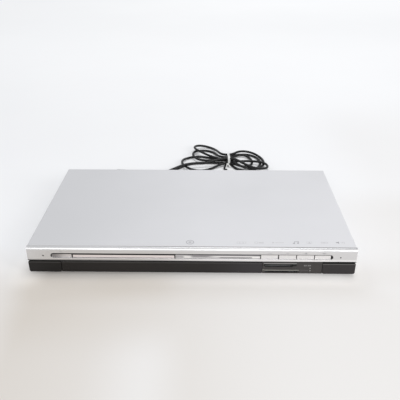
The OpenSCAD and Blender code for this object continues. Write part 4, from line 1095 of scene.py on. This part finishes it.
def stadium(inset, y):
    """Loop of points round the slot, set in from its edge."""
    half = (SLOT_HIGH - SLOT_LOW) / 2
    middle = (SLOT_HIGH + SLOT_LOW) / 2
    r = half - inset
    loop = []
    for side, start in ((1, -90), (-1, 90)):
        for k in range(ROUND_STEPS + 1):
            a = math.radians(start + 180 * k / ROUND_STEPS)
            loop.append(Vector((side * (SLOT_END - half) + r * math.cos(a), y, middle + r * math.sin(a))))
    return loop


def line_slot():
    """Painted shade: thin black lining on the upper and end walls of the long slot, with a narrow black
    rim on the face along the slot's gap.
    """
    front = FACE_Y - SHADE_RIM_T
    back = FACE_Y + LINER_DEPTH
    section = (
        (-SHADE_RIM_WIDE, front), (LINER_T, front), (LINER_T, back),
        (0, back), (0, FACE_Y), (-SHADE_RIM_WIDE, FACE_Y),
    )
    low = ROUND_STEPS // 3

    def make(form):
        rings = []
        for inset, y in section:
            loop = stadium(inset, y)
            rings.append([form.verts.new(p) for p in loop[low:len(loop) - low]])
        for one, two in zip(rings, rings[1:] + rings[:1]):
            for k in range(len(one) - 1):
                form.faces.new((one[k], one[k + 1], two[k + 1], two[k]))
        for end in (0, -1):
            form.faces.new([ring[end] for ring in rings])

    # The lining is a dark sheet that stands for the shade in the slot's gap
    piece("slot_shade_sheet", make, grain_finish("slot_shade_black", tint(14, 14, 15), 0.6), "root")


line_slot()


# ---------------------------------------------------------------- printed marks

PRINT_T = 0.03
KEY_MARK_Z = 35.6


def on_cover(u, v, up):
    return (u, v, COVER_TOP + up)


def on_face(u, v, up):
    return (u, FACE_Y - up, v)


def on_card_face(u, v, up):
    return (u, CARD_FACE_Y - up, v)


def raise_shape(form, lay, outline, hole=None):
    """Thin plate with an outline and, if there is a hole, one of as many points."""
    count = len(outline)
    rings = []
    for loop in [outline] if hole is None else [outline, hole]:
        for up in (0, PRINT_T):
            rings.append([form.verts.new(lay(u, v, up)) for u, v in loop])
    for low, high in zip(rings[::2], rings[1::2]):
        for k in range(count):
            form.faces.new((low[k], low[(k + 1) % count], high[(k + 1) % count], high[k]))
    for level in (0, 1):
        if hole is None:
            form.faces.new(rings[level])
            continue
        outer, inner = rings[level], rings[level + 2]
        for k in range(count):
            form.faces.new((outer[k], outer[(k + 1) % count], inner[(k + 1) % count], inner[k]))


def print_mark(name, lay, at, shapes, ink):
    """One printed mark; its shapes are outlines, some with a hole, about the place at."""
    def make(form):
        for shape in shapes:
            raise_shape(form, lay, *([(at[0] + u, at[1] + v) for u, v in loop] for loop in shape))

    piece(name, make, ink, "root", smooth=False)


def ink_finish(name, colour):
    """Printed ink, thin and slightly uneven."""
    f = Finish(name)
    speck = f.noise(0.4, 2)
    return f.surface({
        "Base Color": f.mix(speck, colour, shade(colour, 1.25)),
        "Roughness": 0.45 + speck * 0.1,
        "Normal": f.bump(speck, 0.01),
    })


def print_cover():
    """Plain pictograms along the front of the cover."""
    soft = ink_finish("ink_soft", tint(176, 175, 177))
    middle = ink_finish("ink_middle", tint(160, 159, 162))
    clear = ink_finish("ink_clear", tint(138, 137, 140))
    disc = [
        (circle(0, 0, 5.2), circle(0, 0, 4.5)),
        (circle(0, 0, 3.1), circle(0, 0, 2.8)),
        (circle(0, 0, 1.5), circle(0, 0, 0.8)),
    ]
    film = [
        (oblong(0, 0, 12, 4.6), oblong(0, 0, 11.2, 3.8)),
        (oblong(-2.2, 0, 0.6, 3.8),), (oblong(2.2, 0, 0.6, 3.8),),
    ]
    screen = [
        (oblong(0, 0, 4.6, 4.2), oblong(0, 0, 3.6, 3.2)),
        (oblong(6.4, 1, 6.4, 0.9),), (oblong(6.4, -1, 6.4, 0.9),),
    ]
    sound = [(triangle(0, 0, 2.6, 3.6),), (oblong(8.1, 0, 11.5, 0.7),)]
    note = [
        (circle(0, 0, 1.5),), (circle(5.2, 0.6, 1.5),),
        (oblong(1.2, 2.2, 0.7, 4.4),), (oblong(6.4, 2.8, 0.7, 4.4),),
        ([(0.85, 3.4), (6.75, 4.2), (6.75, 5.3), (0.85, 4.5)],),
    ]
    picture = [
        (oblong(0, 0, 7, 4.4), oblong(0, 0, 6.3, 3.7)),
        ([(-2.2, -1.6), (2.2, -1.6), (0, 1)],),
    ]
    card = [
        ([(-4, -1.7), (5, -1.7), (5, 0.6), (3.6, 1.8), (-4, 1.8)],
         [(-3.4, -1.2), (4.4, -1.2), (4.4, 0.3), (3.3, 1.3), (-3.4, 1.3)]),
        (oblong(0, 0, 4.5, 0.7),),
    ]
    speaker = [(oblong(0, 0, 1.6, 2.2),), ([(1, -1), (3, -2.6), (3, 2.6), (1, 1)],)]
    waves = [(oblong(0, 0, 0.6, 2.6),), (oblong(2, 0, 0.6, 3.8),), (oblong(4, 0, 0.6, 5),)]
    for name, at, shapes, ink in (
        ("mark_disc", (-2.1, -108.9), disc, clear),
        ("mark_film", (65.6, -109.2), film, soft),
        ("mark_screen", (85.2, -108.9), screen, soft),
        ("mark_sound", (107.5, -108.5), sound, soft),
        ("mark_note", (134.3, -109.8), note, middle),
        ("mark_picture", (154.8, -107.9), picture, soft),
        ("mark_card", (174, -107.7), card, soft),
        ("mark_speaker", (190.6, -107.4), speaker, clear),
        ("mark_waves", (196.5, -107.4), waves, soft),
    ):
        print_mark(name, on_cover, at, shapes, ink)


def print_keys():
    """Key symbols on the silver face."""
    faint = ink_finish("ink_faint", tint(118, 117, 119))
    power = [(circle(0, 0, 1.2), circle(0, 0, 0.95)), (oblong(0, 0.8, 0.3, 1.4),)]
    eject = [([(-1.25, -0.3), (1.25, -0.3), (0, 1.1)],), (oblong(0, -0.95, 2.5, 0.5),)]
    skip = [(triangle(-0.85, 0, 1.7, 2.2),), (triangle(0.85, 0, 1.7, 2.2),), (oblong(2.05, 0, 0.5, 2.2),)]
    for name, key, shapes in (
        ("mark_power", "power_button", power),
        ("mark_open", "open_button", eject),
        ("mark_play", "play_button", [(triangle(0, 0, 2.2, 2.2),)]),
        ("mark_stop", "stop_button", [(oblong(0, 0, 2, 2),)]),
        ("mark_skip", "skip_button", skip),
    ):
        print_mark(name, on_face, (centre(key, "x"), KEY_MARK_Z), shapes, faint)


def print_card_face():
    """Small pale symbols beside the card slots, and a thin line between them."""
    kinds = [
        ([(0, 0), (4.2, 0), (4.2, 1.1), (3.6, 1.6), (0, 1.6)],
         [(0.4, 0.3), (3.8, 0.3), (3.8, 0.9), (3.4, 1.3), (0.4, 1.3)]),
        (oblong(7.2, 0.8, 3, 1.5), oblong(7.2, 0.8, 2.2, 0.8)),
        (oblong(8.2, -3.3, 1.6, 1),),
        (oblong(8.4, -7.2, 1.8, 1.3), oblong(8.4, -7.2, 1.1, 0.6)),
    ]
    pale = ink_finish("ink_pale", tint(150, 150, 149))
    print_mark("mark_card_kinds", on_card_face, (147.8, 15.5), kinds, pale)
    line = ink_finish("ink_line", tint(122, 121, 120))
    print_mark("mark_card_line", on_card_face, (147.5, 8.9), [(oblong(0, 0, 11.5, 0.25),)], line)


print_cover()
print_keys()
print_card_face()


# ---------------------------------------------------------------- floor and light

FLOOR_HALF = 6000
FLOOR_GAP = 0.2
FLOOR_COOL = (0.84, 0.84, 0.85, 1)
FLOOR_PALE = (0.87, 0.87, 0.88, 1)
# Colour of the painted shade on the floor
FLOOR_SHADE = (0.605, 0.56, 0.51, 1)
BLACK = (0, 0, 0, 1)
WHITE = (1, 1, 1, 1)
SKY_COLOUR = (0.96, 0.98, 1, 1)
SKY_LIGHT = 0.6
SKY_SEEN = 0.95


def seen_rays(nodes):
    """Rays that show a surface to the eye: straight, mirrored and through glass."""
    return [nodes.add("LightPath", take=f"Is {kind} Ray") for kind in ("Camera", "Glossy", "Transmission")]


def floor_shade(f):
    """Painted shade on the floor, warmer and darker: in front, to the left, and close round the player."""
    # Painted shade on the floor round the player, warmer and darker
    left = 0.58 * f.smooth_step(f.x, 150, -250)
    far_left = 0.4 * f.smooth_step(f.x, -190, -245)
    nearest_shade = f.smooth_step(f.y, -200, -290) * f.smooth_step(f.x, 10, -50)
    shade_share = 0.42 + left - far_left - nearest_shade * (0.14 + 0.16 * f.smooth_step(f.x, -120, -50))
    front = f.smooth_step(f.y, -45, -180) * shade_share
    foot = f.patch(f.y, -195, -130, -110, -60) * f.patch(f.x, -260, -200, 200, 260)
    foot = foot * (1 + 0.7 * f.patch(f.x, -150, -90, -50, 0))
    beside = f.smooth_step(f.x, 190, 260) * f.patch(f.y, -160, -110, 40, 160)
    right = f.smooth_step(f.x, 200, 360) * f.patch(f.y, -140, -60, 350, 700)
    return front + 0.25 * foot + 0.2 * beside + 0.16 * right


def floor_glow(f):
    """How much light of its own the floor shows: most far behind, and painted light along the front edge
    and at the left front corner.
    """
    behind = 0.2 * f.smooth_step(f.y, 100, 1500)
    wall = f.smooth_step(f.y, 1300, 2500) * (0.08 + 0.07 * f.smooth_step(f.x, -1100, 400))
    # Painted light along the front edge and at the left front corner
    edge = f.patch(f.y, -155, -126, -110, -60) * f.patch(f.x, -230, 150, 192, 236)
    corner = f.patch(f.x, -250, -214, -212, -185) * f.patch(f.y, -165, -130, -90, -20)
    return 0.03 + behind + wall + 0.2 * (edge + 0.6 * corner)


def lay_floor():
    """Pale floor with painted shade round the player and painted light along its front edge, turning white
    where it meets the wall.
    """
    f = Finish("floor_white")
    pale = f.mix(f.noise(260, 2), FLOOR_COOL, FLOOR_PALE)
    diffuse = f.add("BsdfDiffuse", None, {"Color": f.mix(floor_shade(f), pale, FLOOR_SHADE)})
    straight, mirrored, through = seen_rays(f)
    seen = (straight + mirrored + through) * floor_glow(f)
    glow = f.add("Emission", None, {"Color": f.mix(seen, BLACK, WHITE), "Strength": 1.0})
    f.add("OutputMaterial", None, {"Surface": f.add("AddShader", None, [diffuse, glow])})
    form = bmesh.new()
    bmesh.ops.create_grid(form, x_segments=4, y_segments=4, size=FLOOR_HALF * MM)
    mesh = bpy.data.meshes.new("floor")
    form.to_mesh(mesh)
    form.free()
    mesh.materials.append(f.material)
    floor = bpy.data.objects.new("floor", mesh)
    floor.location = (0, 0, -FLOOR_GAP * MM)
    scene.collection.objects.link(floor)


def light_sky():
    """Even light from all round, brighter where it is seen."""
    world = bpy.data.worlds.new("studio")
    world.use_nodes = True
    scene.world = world
    room = Nodes(world.node_tree)
    straight, mirrored, through = seen_rays(room)
    seen = straight | mirrored | through
    strength = room.add("MapRange", None, {"Value": seen, "To Min": SKY_LIGHT, "To Max": SKY_SEEN})
    sky = room.add("Background", None, {"Color": SKY_COLOUR, "Strength": strength})
    room.add("OutputWorld", None, {"Surface": sky})


def hang_lamp(name, at, wide, high, power, colour=(1, 1, 1)):
    """Rectangular lamp that shines at the middle of the player."""
    lamp = bpy.data.lights.new(name, "AREA")
    lamp.shape = "RECTANGLE"
    lamp.size = wide
    lamp.size_y = high
    lamp.energy = power
    lamp.color = colour
    hung = bpy.data.objects.new(name, lamp)
    hung.location = at
    hung.rotation_euler = (-Vector(at)).to_track_quat("-Z", "Y").to_euler()
    scene.collection.objects.link(hung)


lay_floor()
light_sky()
hang_lamp("ceiling_lamp", at=(0.3, 0.3, 2.1), wide=1.0, high=1.0, power=14)
hang_lamp("front_lamp", at=(0.25, -2.3, 1.3), wide=2.8, high=0.36, power=22, colour=(1, 0.99, 0.98))
hang_lamp("right_lamp", at=(2.2, -1.4, 1.2), wide=1.0, high=1.0, power=16)
